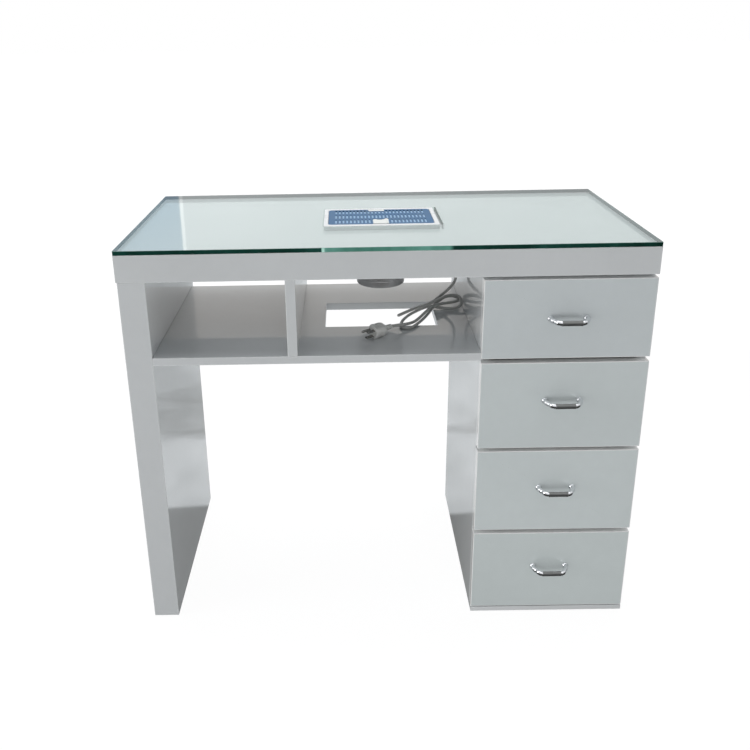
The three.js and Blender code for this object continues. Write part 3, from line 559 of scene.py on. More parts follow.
# painted light: each drawer front gets its own tone of the same lacquer, lighter towards the lower fronts, and a
# paler painted highlight along its edges
FRONT_PAINTED_LIGHT_TONES = [(0.583, 0.628, 0.640), (0.595, 0.645, 0.648), (0.625, 0.678, 0.680),
               (0.615, 0.670, 0.668)]  # drawers 1 to 4
LACQ_FRONT = [
    lacquer("lacquer_white_front_%d" % i, base=tone, edge=(0.80, 0.81, 0.80), seed=11.3 + 2.9 * i)
    for i, tone in enumerate(FRONT_PAINTED_LIGHT_TONES, 1)]
# painted light: the sides, tops and bottoms of the drawer fronts are painted far paler than their faces
LACQ_RIM_PAINTED_LIGHT = lacquer("lacquer_white_front_edges", base=(0.92, 0.93, 0.925),
                   edge=(0.94, 0.945, 0.94), seed=23.7)
MELA = melamine("melamine_white")
MELA_BOTTOM = melamine("hardboard_white", base=(0.66, 0.65, 0.62))
GLASS = [glass_face(), glass_edge(), glass_cut()]
CHROME = plain("chrome_polished", (0.78, 0.79, 0.81), rough=0.05, metal=1.0, vary=0.02,
               grain=220, bump=0.03)
GRIP = plain("nickel_brushed_grip", (0.25, 0.255, 0.252), rough=0.58, metal=1.0, vary=0.16,
             grain=90, bump=0.35, streak=(0.5, 14, 14))
ZINC = plain("zinc_plated_steel", (0.60, 0.62, 0.64), rough=0.30, metal=1.0, vary=0.12,
             grain=160, bump=0.2, streak=(8, 0.6, 8))
BALL = plain("bearing_steel", (0.75, 0.76, 0.78), rough=0.12, metal=1.0, vary=0.04,
             grain=200, bump=0.05)
CAGE = plain("ball_cage_brass", (0.55, 0.47, 0.28), rough=0.35, metal=1.0, vary=0.1,
             grain=120, bump=0.15)
SCREW = plain("screw_nickel", (0.66, 0.66, 0.65), rough=0.25, metal=1.0, vary=0.1,
              grain=260, bump=0.15)
WHITE_P = plain("white_abs", (0.86, 0.885, 0.90), rough=0.28, vary=0.03, grain=700, bump=0.12,
                coat=0.15)
BLUE_P = plain("blue_abs", (0.050, 0.145, 0.290), rough=0.50, vary=0.14, grain=600, bump=0.2,
               specular=0.25)
PAD_P = plain("white_pad", (0.87, 0.90, 0.88), rough=0.4, vary=0.05, grain=500, bump=0.15)
TRAY_P = plain("grey_tray_plastic", (0.66, 0.68, 0.69), rough=0.45, vary=0.05, grain=500, bump=0.2)
FAN_P = plain("fan_can_paint", (0.48, 0.48, 0.48), rough=0.20, metal=0.65, vary=0.15,
              grain=420, bump=0.15, coat=0.25)
MOTOR_M = plain("motor_steel", (0.45, 0.46, 0.47), rough=0.35, metal=1.0, vary=0.12,
                grain=160, bump=0.2, streak=(6, 6, 0.6))
BLACK_P = plain("black_abs", (0.018, 0.019, 0.021), rough=0.38, vary=0.25, grain=700, bump=0.2)
CORD_P = plain("cord_pvc_grey", (0.47, 0.47, 0.455), rough=0.36, vary=0.12, grain=900, bump=0.25)
PLUG_P = plain("plug_pvc_grey", (0.74, 0.74, 0.715), rough=0.38, vary=0.10, grain=800, bump=0.25)
PRONG = plain("prong_nickel_brass", (0.32, 0.318, 0.305), rough=0.16, metal=1.0, vary=0.1,
              grain=200, bump=0.08)
RUBBER = plain("clear_bumper", (0.62, 0.63, 0.62), rough=0.35, vary=0.06, grain=500, bump=0.1)
PAPER = plain("filter_fleece", (0.40, 0.585, 0.79), rough=0.9, vary=0.08, grain=260, bump=0.6)


# ---------------------------------------------------------------------------
# lacquered boards and glass
# ---------------------------------------------------------------------------
JOINT = 0.0002  # gap left between boards that meet
HAIR = 0.0001  # the least gap that parts two faces
VENT_LOW, VENT_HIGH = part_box("vent_frame")
WOOD_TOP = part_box("top_panel")[1].z


def top_slab():
    """Three glued layers under one coat of lacquer, cut out under the vent."""
    low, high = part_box("top_underside_panel")[0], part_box("top_panel")[1]
    inset_x, inset_y = 0.007, 0.006  # cut-out inside the vent frame's box
    hole = rrect(VENT_LOW.x + inset_x, VENT_LOW.y + inset_y,
                 VENT_HIGH.x - inset_x, VENT_HIGH.y - inset_y, 0.003, 3)
    mesh = plate(rrect(low.x, low.y, high.x, high.y, 0.0010, 4), [hole], low.z, high.z,
                 (0.0010, 0.0010), (0.0006, 0.0006), seg=4)
    nodes = ("top_panel", "top_edge_frame", "top_underside_panel")
    make("top_slab", mesh, LACQ, "table", nodes)


def glass_sheet():
    """Glass with polished edges; its cut-out is wider on the right."""
    low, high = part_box("glass_top")
    gap, right_gap = 0.001, 0.006
    hole = rrect(VENT_LOW.x - gap, VENT_LOW.y - gap, VENT_HIGH.x + right_gap, VENT_HIGH.y + gap,
                 0.003, 4)
    mesh = plate(rrect(low.x, low.y, high.x, high.y, 0.0025, 6), [hole], low.z + 0.00005, high.z,
                 (0.0006, 0.0006), (0.0005, 0.0005), mats=(0, 1, 2))
    make("glass_sheet", mesh, GLASS, "table", ("glass_top",))


def left_leg():
    """Slab leg, closed on all sides."""
    low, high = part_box("left_leg_outer_panel")[0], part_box("left_leg_inner_panel")[1]
    mesh = board(low, (high.x, high.y, high.z - JOINT), "x", 0.0010)
    nodes = ("left_leg_outer_panel", "left_leg_inner_panel", "left_leg_core_frame")
    make("left_leg", mesh, LACQ_LEG, "table", nodes)


def shelf():
    """Shelf with a cut-out, and the upright on it."""
    low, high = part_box("shelf_board")
    hole = rrect(-0.114, -0.068, 0.108, 0.070, 0.002, 3)
    mesh = plate(rrect(low.x + HAIR, low.y, high.x - HAIR, high.y, 0.0006, 2), [hole],
                 low.z, high.z, (0.0005, 0.0005), (0.0006, 0.0006))
    make("shelf", mesh, LACQ_SHELF, "table", ("shelf_board",))
    low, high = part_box("shelf_divider")
    mesh = board((low.x, low.y, low.z + HAIR), (high.x, high.y, high.z - HAIR), "x",
                 0.0011, corner=0.0006)
    make("shelf_upright", mesh, LACQ_SHELF, "table", ("shelf_divider",))


def pedestal():
    """Sides, back and top rail, and a base that reaches forward under the sides."""
    for node, axis, name in (
        ("pedestal_left_side", "x", "pedestal_side_left"),
        ("pedestal_right_side", "x", "pedestal_side_right"),
        ("pedestal_back_panel", "y", "pedestal_back"),
        ("pedestal_top_rail", "z", "pedestal_rail"),
    ):
        low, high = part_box(node)
        mesh = board(low, (high.x, high.y, high.z - JOINT), axis, 0.0009)
        make(name, mesh, LACQ_PED_LIT, "table", (node,))
    low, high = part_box("pedestal_bottom_panel")
    left_side, right_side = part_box("pedestal_left_side"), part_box("pedestal_right_side")
    left, right = left_side[1].x + JOINT, right_side[0].x - JOINT
    step = left_side[0].y - JOINT
    outline = [(low.x, low.y), (high.x, low.y), (high.x, step), (right, step),
               (right, high.y), (left, high.y), (left, step), (low.x, step)]
    mesh = plate(outline, [], low.z, high.z, (0.0008, 0.0008))
    make("pedestal_base", mesh, LACQ_PED_LIT, "table", ("pedestal_bottom_panel",))


top_slab()
glass_sheet()
left_leg()
shelf()
pedestal()

# ---------------------------------------------------------------------------
# handles
# ---------------------------------------------------------------------------
FOOT_X = 0.032  # from the middle of a handle to each foot
BAR_HALF = 0.019  # half of the straight part
REACH = 0.0255  # the bar stands this far from the front
BAR_HEIGHT, BAR_DEPTH = 0.0046, 0.0037  # half sizes of the bar's section
# left half of the bow: x from the middle, y from the front
BOW_HALF = [
    (-FOOT_X, 0.0), (-FOOT_X, -0.004), (-FOOT_X + 0.0002, -0.0085),
    (-FOOT_X + 0.0022, -0.0128), (-FOOT_X + 0.0050, -0.0166),
    (-BAR_HALF - 0.0050, -REACH + 0.0036), (-BAR_HALF - 0.0012, -REACH + 0.0008),
    (-BAR_HALF + 0.003, -REACH), (-BAR_HALF + 0.010, -REACH), (0, -REACH),
]
BOW = catmull([Vector((x, y, 0)) for x, y in BOW_HALF]
              + [Vector((-x, y, 0)) for x, y in BOW_HALF[:-1][::-1]])
# (radius, height) of a round foot with a rolled lip
FOOT = [(0, 0), (0.0061, 0), (0.0062, 0.0006), (0.0062, 0.0016), (0.0058, 0.0024),
        (0.0052, 0.0036), (0.0045, 0.0052), (0, 0.006)]


def bow_thickness(point):
    """Stouter at the bends and feet, slimmer under the sleeve."""
    out = min(1.0, max(0.0, -point.y / REACH))
    along = abs(point.x)
    bend = max(0.0, 1 - abs(along - 0.0265) / 0.0085)
    thickness = 1.0 + 0.20 * (1 - out) ** 1.5 + 0.16 * bend
    return thickness * 0.94 if along < BAR_HALF else thickness


def handle_grip(centre):
    """Sleeve with fine ribs along the straight part, and a collar at each end."""
    end, ribs, steps_per_rib = 0.0172, 17, 6
    steps = ribs * steps_per_rib
    collar = [(0.0009, 0.90), (0.0007, 1.13), (0, 1.15), (-0.0004, 1.06)]  # past the end, scale
    profile = [(-end - past, scale) for past, scale in collar]
    profile += [(-end + 0.0006 + (2 * end - 0.0012) * k / steps,
                 1.055 + 0.028 * math.cos(2 * math.pi * k / steps_per_rib))
                for k in range(steps + 1)]
    profile += [(end + past, scale) for past, scale in collar[::-1]]
    mesh = bmesh.new()
    rings = [[mesh.verts.new(centre + Vector((x, -REACH + y, z)))
              for z, y in ellipse(BAR_HEIGHT * scale, BAR_DEPTH * scale, 28)]
             for x, scale in profile]
    bridge(mesh, rings, capped=True)
    return mesh


def handle(number):
    node, body = "drawer_%d_handle" % number, "drawer_%d" % number
    low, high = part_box(node)
    centre = Vector(((low.x + high.x) / 2, high.y, (low.z + high.z) / 2))
    mesh = sweep([centre + p for p in BOW], ellipse(BAR_HEIGHT, BAR_DEPTH, 24),
                 [bow_thickness(p) for p in BOW])
    for side in (-1, 1):
        place = Matrix.Translation(centre + Vector((side * FOOT_X, 0, 0)))
        merge(mesh, transform(lathe(FOOT, 28), place @ Matrix.Rotation(math.radians(90), 4, "X")))
    make("handle_bow_%d" % number, mesh, CHROME, body, (node,), weighted=False)
    make("handle_grip_%d" % number, handle_grip(centre), GRIP, body, (), weighted=False)


# ---------------------------------------------------------------------------
# runners
# ---------------------------------------------------------------------------
STEEL = 0.00125  # sheet thickness of the runners
CHANNEL_HALF, CHANNEL_DEPTH, CHANNEL_LIP = 0.0175, 0.0105, 0.003
# lower half of the channel: distance from the cabinet side, height from the middle
CHANNEL_LOWER = [
    (0, -CHANNEL_HALF), (CHANNEL_DEPTH - 0.0012, -CHANNEL_HALF),
    (CHANNEL_DEPTH - 0.0003, -CHANNEL_HALF + 0.0004), (CHANNEL_DEPTH, -CHANNEL_HALF + 0.0013),
    (CHANNEL_DEPTH, -CHANNEL_HALF + CHANNEL_LIP),
    (CHANNEL_DEPTH - STEEL, -CHANNEL_HALF + CHANNEL_LIP),
    (CHANNEL_DEPTH - STEEL, -CHANNEL_HALF + STEEL + 0.0004),
    (CHANNEL_DEPTH - STEEL - 0.0006, -CHANNEL_HALF + STEEL),
    (STEEL + 0.0006, -CHANNEL_HALF + STEEL), (STEEL, -CHANNEL_HALF + STEEL + 0.0006),
]
CHANNEL = CHANNEL_LOWER + [(x, -z) for x, z in CHANNEL_LOWER[::-1]]
# moving rail: distance from the drawer box, height from the middle
RAIL = [
    (0, -0.011), (0, 0.011), (STEEL, 0.011), (STEEL, 0.0095), (0.0075, 0.0095),
    (0.0080, 0.0090), (0.0080, 0.00825), (0.0017, 0.00825), (STEEL, 0.0077),
    (STEEL, -0.0077), (0.0017, -0.00825), (0.0080, -0.00825), (0.0080, -0.0090),
    (0.0075, -0.0095), (STEEL, -0.0095), (STEEL, -0.011),
]
CAGE_START, CAGE_END = 0.012, 0.150  # from the front of the channel
BALL_HEIGHT, BALL_PITCH = 0.0128, 0.0095
CAGE_SECTION = [(0.0052, -0.0004), (0.0088, -0.0004), (0.0088, 0.0004), (0.0052, 0.0004)]


def steel_section(profile, low, high, face_x, way, screw_spots):
    """A section along Y, standing way from face_x, with screws at parts of its length."""
    z = (low.z + high.z) / 2
    outline = [(face_x + way * u, z + v) for u, v in profile]
    mesh = plate(outline, [], low.y, high.y, (0, 0), axis="y")
    for spot in screw_spots:
        place = (face_x + way * STEEL, low.y + (high.y - low.y) * spot, z)
        add_screw(mesh, place, (way, 0, 0), radius=0.0034, height=0.0015)
    return mesh


def ball_cages(face_x, way, front, z):
    """Two cage strips, each with a row of balls."""
    mesh = bmesh.new()
    start, end = front + CAGE_START, front + CAGE_END
    for side in (-1, 1):
        row_z = z + side * BALL_HEIGHT
        strip = [(face_x + way * u, row_z + v) for u, v in CAGE_SECTION]
        plate(strip, [], start, end, (0, 0), axis="y", into=mesh, mats=(1, 1, 1))
        y = start + 0.006
        while y < end - 0.004:
            ball = bmesh.new()
            place = Matrix.Translation((face_x + way * 0.007, y, row_z))
            bmesh.ops.create_icosphere(ball, subdivisions=2, radius=0.0016, matrix=place)
            merge(mesh, ball)
            y += BALL_PITCH
    return mesh


def runner(number, side):
    """Channel on the cabinet, balls, and rail on the drawer."""
    left = side == "left"
    way = 1 if left else -1  # from the cabinet side towards the drawer
    tag = (number, side)
    node = "cabinet_runner_%d_%s" % tag
    low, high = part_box(node)
    face_x = low.x if left else high.x
    mesh = steel_section(CHANNEL, low, high, face_x, way, (0.08, 0.5, 0.9))
    make("runner_channel_%d_%s" % tag, mesh, ZINC, "table", (node,),
         weighted=False)
    mesh = ball_cages(face_x, way, low.y, (low.z + high.z) / 2)
    make("runner_balls_%d_%s" % tag, mesh, [BALL, CAGE], "table", (),
         weighted=False)
    node = "drawer_%d_runner_%s" % tag
    low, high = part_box(node)
    mesh = steel_section(RAIL, low, high, high.x if left else low.x, -way, (0.06, 0.45, 0.88))
    make("drawer_rail_%d_%s" % tag, mesh, ZINC, "drawer_%d" % number, (node,),
         weighted=False)


# ---------------------------------------------------------------------------
# drawers
# ---------------------------------------------------------------------------
BOX_WALL = 0.012


def drawer_box(number, low, high):
    """Sides run the full depth, the ends sit between them; screws show on the sides."""
    body, node = "drawer_%d" % number, "drawer_%d_box" % number
    front = low.y + 0.00015  # clear of the back of the front board
    left, right = low.x + BOX_WALL, high.x - BOX_WALL
    # name, corners, way of the thickness, outward way of the screws
    for name, start, end, axis, way in (
        ("side_l", (low.x, front, low.z), (left, high.y, high.z), "x", -1),
        ("side_r", (right, front, low.z), (high.x, high.y, high.z), "x", 1),
        ("head", (left, front, low.z), (right, low.y + BOX_WALL, high.z), "y", 0),
        ("tail", (left, high.y - BOX_WALL, low.z), (right, high.y, high.z), "y", 0),
    ):
        mesh = board(start, end, axis, 0.0009)
        if way:
            x = low.x if way < 0 else high.x
            for rise in (0.25, 0.75):
                for y in (BOX_WALL / 2, (high.y - low.y) - BOX_WALL / 2):
                    place = (x, low.y + y, low.z + (high.z - low.z) * rise)
                    add_screw(mesh, place, (way, 0, 0), radius=0.003, height=0.0006, mat=1)
        make("drawer_%d_%s" % (number, name), mesh, [MELA, SCREW], body, (node,))
    node = "drawer_%d_bottom" % number
    floor_low, floor_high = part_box(node)
    mesh = board((left + HAIR, low.y + BOX_WALL + HAIR, floor_low.z),
                 (right - HAIR, high.y - BOX_WALL - HAIR, floor_high.z), "z",
                 0.0002, corner=0.0004, seg=1)
    make("drawer_%d_floor" % number, mesh, MELA_BOTTOM, body, (node,))


def handle_screws(number, low, high):
    """Heads of the handle screws inside the box, kept on its head board."""
    handle_low, handle_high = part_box("drawer_%d_handle" % number)
    z = (handle_low.z + handle_high.z) / 2
    z = min(max(z, low.z + 0.022), high.z - 0.008)
    mesh = bmesh.new()
    for side in (-1, 1):
        x = (handle_low.x + handle_high.x) / 2 + side * FOOT_X
        add_screw(mesh, (x, low.y + BOX_WALL + HAIR, z), (0, 1, 0), radius=0.0042, height=0.0024)
    make("handle_screws_%d" % number, mesh, SCREW, "drawer_%d" % number, (),
         weighted=False)


def front_bumpers(number, low, high):
    """Soft bumpers at the four corners behind the front."""
    profile = [(0, 0), (0.0042, 0), (0.0042, 0.0008), (0.003, 0.0015), (0, 0.0017)]
    mesh = bmesh.new()
    for x in (low.x + 0.009, high.x - 0.009):
        for z in (low.z + 0.012, high.z - 0.012):
            lathe(profile, 20, centre=(x, high.y, z), axis="y", into=mesh)
    make("front_bumpers_%d" % number, mesh, RUBBER, "drawer_%d" % number, (),
         weighted=False)


def drawer(number):
    node = "drawer_%d_front" % number
    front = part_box(node)
    # the outer sides of each front take the lacquer painted far paler, as painted light
    mesh = board(*front, "y", 0.0010, seg=4, mats=(0, 1, 1))
    make("front_%d" % number, mesh, [LACQ_FRONT[number - 1], LACQ_RIM_PAINTED_LIGHT], "drawer_%d" % number,
         (node,))
    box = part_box("drawer_%d_box" % number)
    drawer_box(number, *box)
    handle_screws(number, *box)
    front_bumpers(number, *front)
    handle(number)
    for side in ("left", "right"):
        runner(number, side)


for i in range(1, 5):
    drawer(i)

# ---------------------------------------------------------------------------
# dust vent
# ---------------------------------------------------------------------------
VENT_X, VENT_Y = -0.002, 0.011  # centre of the vent; its outlines are drawn about it
FRAME_TOP = VENT_HIGH.z
SEAT = FRAME_TOP - 0.006  # height of the grille's seat
FRAME_X, FRAME_Y = 0.111, 0.073  # half sizes of the frame
WELL_X, WELL_Y = 0.10225, 0.06125  # half sizes of its opening
GRILLE_X, GRILLE_Y, GRILLE_R = 0.1015, 0.0605, 0.00725  # half sizes, corner radius
NOTCH_X, NOTCH_DEPTH = 0.016, 0.042  # front notch: half width, depth
NOTCH_END = -GRILLE_Y + NOTCH_DEPTH
BACK_X, BACK_HALF, BACK_DEPTH = -0.0055, 0.0165, 0.012  # back notch: centre, half width, depth
BACK_LEFT, BACK_RIGHT, BACK_END = BACK_X - BACK_HALF, BACK_X + BACK_HALF, GRILLE_Y - BACK_DEPTH


def at_vent(points):
    return placed(points, VENT_X, VENT_Y)


def vent_rect(half_width, half_depth, radius, steps):
    return centred(half_width, half_depth, radius, steps, VENT_X, VENT_Y)


def vent_frame():
    """A rounded flange on the wood and a skirt down into the cut-out."""
    mesh = plate(vent_rect(FRAME_X, FRAME_Y, 0.004, 6), [vent_rect(WELL_X, WELL_Y, 0.008, 8)],
                 WOOD_TOP + HAIR, FRAME_TOP, (0.0002, 0.0014), (0.0002, 0.0009), seg=4)
    plate(vent_rect(FRAME_X - 0.0085, FRAME_Y - 0.0075, 0.003, 4),
          [vent_rect(WELL_X - 0.005, WELL_Y - 0.0045, 0.004, 4)],
          WOOD_TOP - 0.0215, SEAT + 0.002, (0.0006, 0.0003), seg=2, into=mesh)
    make("vent_bezel", mesh, WHITE_P, "table", ("vent_frame",))


def grille_slots():
    """Three rows of round-ended slots, left out or shortened at the notches."""
    pitch, half_count, half_width, half_length = 0.00725, 12, 0.00175, 0.0135
    front_row, middle_row, back_row = -0.026, 0.013, 0.052  # y in the table's frame
    slots = []
    for row in (front_row, middle_row, back_row):
        for k in range(2 * half_count + 1):
            x = pitch * (k - half_count)
            start, end = row - VENT_Y - half_length, row - VENT_Y + half_length
            if row == front_row and abs(x) < NOTCH_X + 0.002:
                continue
            if row == back_row and abs(x - BACK_X) < BACK_HALF + 0.002:
                end = BACK_END - 0.003
            slots.append(at_vent(arc(x, start + half_width, half_width, -180, 180, 4)
                                 + arc(x, end - half_width, half_width, 0, 180, 4)))
    return slots


def grille():
    """Slotted web with a waved front notch and a square back notch, on a skirt."""
    corners = rrect(-GRILLE_X, -GRILLE_Y, GRILLE_X, GRILLE_Y, GRILLE_R, 6)
    half = len(corners) // 2
    right, left = corners[:half], corners[half:]
    back_notch = [
        (BACK_RIGHT, GRILLE_Y), (BACK_RIGHT, BACK_END + 0.002), (BACK_RIGHT - 0.002, BACK_END),
        (BACK_LEFT + 0.002, BACK_END), (BACK_LEFT, BACK_END + 0.002), (BACK_LEFT, GRILLE_Y),
    ]
    front_notch = [(-NOTCH_X, -GRILLE_Y)] + [(x, NOTCH_END + rise) for x, rise in (
        (-NOTCH_X, -0.004), (-NOTCH_X + 0.0012, -0.0012), (-NOTCH_X + 0.005, 0.0005),
        (-NOTCH_X + 0.0078, -0.0015), (-NOTCH_X + 0.011, -0.0045), (0.0, -0.0052),
        (NOTCH_X - 0.011, -0.0025), (NOTCH_X - 0.0082, 0.0020), (NOTCH_X - 0.006, 0.0045),
        (NOTCH_X - 0.0022, 0.0042), (NOTCH_X, 0.0015))] + [(NOTCH_X, -GRILLE_Y)]
    top = SEAT + 0.00575
    mesh = plate(at_vent(right + back_notch + left + front_notch), grille_slots(),
                 top - 0.0010, top, (0.0002, 0.0005), (0.0002, 0.0004))
    # skirt under the web, following the outer edge and the two notches
    back = [(BACK_RIGHT, GRILLE_Y), (BACK_RIGHT, BACK_END), (BACK_LEFT, BACK_END),
            (BACK_LEFT, GRILLE_Y)]
    front_end = NOTCH_END + 0.0047
    front = [(-NOTCH_X, -GRILLE_Y), (-NOTCH_X, front_end), (NOTCH_X, front_end),
             (NOTCH_X, -GRILLE_Y)]
    ring = at_vent(front + right + back + left)
    plate(offset(ring, -0.0005), [offset(ring, -0.0021)], SEAT + 0.00225, top - 0.0008,
          (0.0002, 0), seg=1, into=mesh)
    make("grille_plate", mesh, BLUE_P, "grille", ("vent_grille",))


FILTER_BOTTOM, FILTER_TOP = SEAT - 0.006, SEAT + 0.0030


def filter_cartridge():
    """White rim, with a pad in each notch of the grille."""
    gap = 0.0008  # between a pad and its notch
    pad_top, pad_bottom = SEAT + 0.0056, FILTER_TOP - 0.0009
    mesh = plate(vent_rect(0.095, 0.053, 0.003, 4), [vent_rect(0.0905, 0.0485, 0.002, 3)],
                 FILTER_BOTTOM, FILTER_TOP - 0.0003, (0.0006, 0.0006), seg=2)
    front_pad = [(-NOTCH_X + gap, -0.0525), (NOTCH_X - gap, -0.0525)]
    front_pad += [(x, NOTCH_END + rise) for x, rise in (
        (NOTCH_X - gap, 0.0004), (NOTCH_X - 0.0026, 0.0032), (NOTCH_X - 0.0058, 0.0035),
        (NOTCH_X - 0.0076, 0.0012), (NOTCH_X - 0.0106, -0.0034), (0.0, -0.0060),
        (-NOTCH_X + 0.0112, -0.0054), (-NOTCH_X + 0.0083, -0.0024),
        (-NOTCH_X + 0.0052, -0.0004), (-NOTCH_X + 0.0019, -0.0020), (-NOTCH_X + gap, -0.0046))]
    plate(at_vent(front_pad), [], pad_bottom, pad_top, (0.0003, 0.0010), into=mesh)
    left, right, front = BACK_LEFT + gap, BACK_RIGHT - gap, BACK_END + gap
    plate(at_vent(rrect(left, front, right, GRILLE_Y + 0.0002, 0.0015, 3)), [],
          SEAT + 0.0021, pad_top, (0.0003, 0.0008), into=mesh)
    plate(at_vent(rrect(left, front, right, 0.0528, 0.001, 2)), [],
          pad_bottom, SEAT + 0.0024, (0, 0), seg=1, into=mesh)
    make("filter_cartridge", mesh, PAD_P, "grille", ("vent_filter",))


def filter_fleece():
    """A flat sheet over a pleated one."""
    half_x, half_y, pleats, thickness = 0.0903, 0.0483, 46, 0.0006
    mesh = board((VENT_X - half_x, VENT_Y - half_y, FILTER_TOP + 0.0008),
                 (VENT_X + half_x, VENT_Y + half_y, FILTER_TOP + 0.0015), "z",
                 0.0003, corner=0.001, seg=2)
    crest, fold = FILTER_TOP - 0.0020, FILTER_BOTTOM + 0.0014
    upper = [(-half_x + 2 * half_x * k / (pleats * 2), fold if k % 2 else crest)
             for k in range(pleats * 2 + 1)]
    lower = [(x, z - thickness) for x, z in upper[::-1]]
    plate(placed(upper + lower, VENT_X, 0), [], VENT_Y - half_y, VENT_Y + half_y, (0, 0),
          axis="y", into=mesh)
    make("filter_fleece", mesh, PAPER, "grille", (), smooth=False, weighted=False)


# ---------------------------------------------------------------------------
# dust tray and fan
# ---------------------------------------------------------------------------
FAN_X, FAN_Y = -0.001, 0.020
CAN_R, CAN_WALL = 0.0485, 0.0015
CAN_BOTTOM, CAN_TOP = (corner.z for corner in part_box("fan_housing"))
FAN_CENTRE = (FAN_X, FAN_Y, 0)


def dust_tray():
    """Tray in the hollow of the top: a floor with the fan's hole, a wall and a flange."""
    low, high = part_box("collector_housing")
    half_x, half_y, wall, flange = 0.107, 0.070, 0.002, 0.0078
    outer = vent_rect(half_x, half_y, 0.006, 5)
    inner = vent_rect(half_x - wall, half_y - wall, 0.004, 5)
    mesh = plate(outer, [ellipse(0.044, 0.044, 64, FAN_X, FAN_Y)], low.z, low.z + wall,
                 (0.0006, 0.0003), seg=2)
    plate(outer, [inner], low.z + 0.0019, high.z, (0, 0), seg=1, into=mesh)
    plate(vent_rect(half_x + flange, half_y + flange, 0.006, 5), [inner],
          high.z - wall, high.z - HAIR, (0.0004, 0.0002), seg=2, into=mesh)
    make("dust_tray", mesh, TRAY_P, "table", ("collector_housing",))


def fan_can():
    """Pressed can: a wall with a rolled lower edge and two beads, and a slotted floor."""
    # rows are (inset from the can's radius, rise from its bottom)
    bead = [(0, 0), (0.0005, 0.0008), (0.0008, 0.0018), (0.0005, 0.0028), (0, 0.0036)]
    outside = [(0.0095, 0.0012), (0.0055, 0.0003), (0.0032, 0), (0.0012, 0.0006),
               (0.0003, 0.0018), (0, 0.0035)]
    for rise in (0.012, 0.060):
        outside += [(inset, rise + up) for inset, up in bead]
    inside = [(CAN_WALL, 0.0045), (CAN_WALL + 0.0018, 0.0026), (0.0095, 0.0026)]
    profile = [(CAN_R - inset, CAN_BOTTOM + rise) for inset, rise in outside]
    profile += [(CAN_R, CAN_TOP), (CAN_R - CAN_WALL, CAN_TOP)]
    profile += [(CAN_R - inset, CAN_BOTTOM + rise) for inset, rise in inside]
    mesh = lathe(profile, 96, centre=FAN_CENTRE, closed=True)
    slot = rrect(0.0235, -0.0028, 0.0405, 0.0028, 0.0027, 4)
    slots = [placed(slot, FAN_X, FAN_Y, k * math.pi / 6) for k in range(12)]
    floor_r = CAN_R - 0.0045
    plate(ellipse(floor_r, floor_r, 96, FAN_X, FAN_Y), slots,
          CAN_BOTTOM + 0.0008, CAN_BOTTOM + 0.0022, (0.0003, 0.0003), seg=2, into=mesh)
    make("fan_can", mesh, FAN_P, "table", ("fan_housing",))


def fan_can_screws():
    mesh = bmesh.new()
    circle_r = 0.0425
    for k in range(4):
        angle = math.radians(45 + 90 * k)
        place = (FAN_X + circle_r * math.cos(angle), FAN_Y + circle_r * math.sin(angle),
                 CAN_BOTTOM + 0.0009)
        add_screw(mesh, place, (0, 0, -1), radius=0.0016, height=0.0007)
    make("fan_can_screws", mesh, SCREW, "table", (), weighted=False)


def motor_can():
    """Motor with a groove near its foot, a stepped top and a bore for the shaft."""
    # rows are (radius, rise from the can's bottom), then (radius, z)
    foot = [(0.0021, 0.0022), (0.0155, 0.0022), (0.0168, 0.003), (0.017, 0.0045),
            (0.017, 0.012), (0.0166, 0.0125), (0.0166, 0.0135), (0.017, 0.014)]
    head = [(0.017, 0.6790), (0.0165, 0.6805), (0.0150, 0.6815), (0.0080, 0.6820),
            (0.0062, 0.6830), (0.0060, 0.6868), (0.0055, 0.6872), (0.0021, 0.6872)]
    profile = [(radius, CAN_BOTTOM + rise) for radius, rise in foot] + head
    mesh = lathe(profile, 56, centre=FAN_CENTRE, closed=True)
    make("motor_can", mesh, MOTOR_M, "table", ("fan_motor",))


def fan_blade(mesh, start_angle):
    """A twisted, cambered blade from the hub outwards."""
    root, tip, middle_z, half_thick = 0.0142, 0.0426, 0.6995, 0.0006
    spans, chords = 9, 7  # cells along and across
    grid = []
    for u in range(spans + 1):
        radius = root + (tip - root) * u / spans
        pitch = math.radians(42 - 18 * u / spans)
        chord = 0.0135 + 0.0065 * math.sin(math.pi * (0.25 + 0.6 * u / spans))
        row = []
        for v in range(chords + 1):
            t = v / chords - 0.5
            camber = 0.0012 * (1 - (2 * t) ** 2)
            along = chord * t
            angle = start_angle + along * math.cos(pitch) / radius + 0.18 * u / spans
            row.append(Vector((FAN_X + radius * math.cos(angle), FAN_Y + radius * math.sin(angle),
                               middle_z + along * math.sin(pitch) + camber)))
        grid.append(row)
    lift = Vector((0, 0, half_thick))
    top = [[mesh.verts.new(p + lift) for p in row] for row in grid]
    low = [[mesh.verts.new(p - lift) for p in row] for row in grid]
    for u in range(spans):
        for v in range(chords):
            for skin in (top, low):
                mesh.faces.new((skin[u][v], skin[u + 1][v], skin[u + 1][v + 1], skin[u][v + 1]))
        for v in (0, chords):
            mesh.faces.new((top[u][v], low[u][v], low[u + 1][v], top[u + 1][v]))
    for v in range(chords):
        for u in (0, spans):
            mesh.faces.new((top[u][v], top[u][v + 1], low[u][v + 1], low[u][v]))


def impeller():
    """Shaft, hub with a domed cap, and seven blades."""
    hub = [(0, 0.6455), (0.0019, 0.6455), (0.00195, 0.646), (0.00195, 0.6920),
           (0.0142, 0.6920), (0.0150, 0.6926), (0.0150, 0.7050), (0.0142, 0.7068),
           (0.0115, 0.7077), (0.006, 0.7080), (0, 0.7080)]  # radius, z
    mesh = lathe(hub, 56, centre=FAN_CENTRE)
    for k in range(7):
        fan_blade(mesh, 2 * math.pi * k / 7)
    make("fan_blades", mesh, BLACK_P, "fan", ("fan_impeller",), weighted=False)


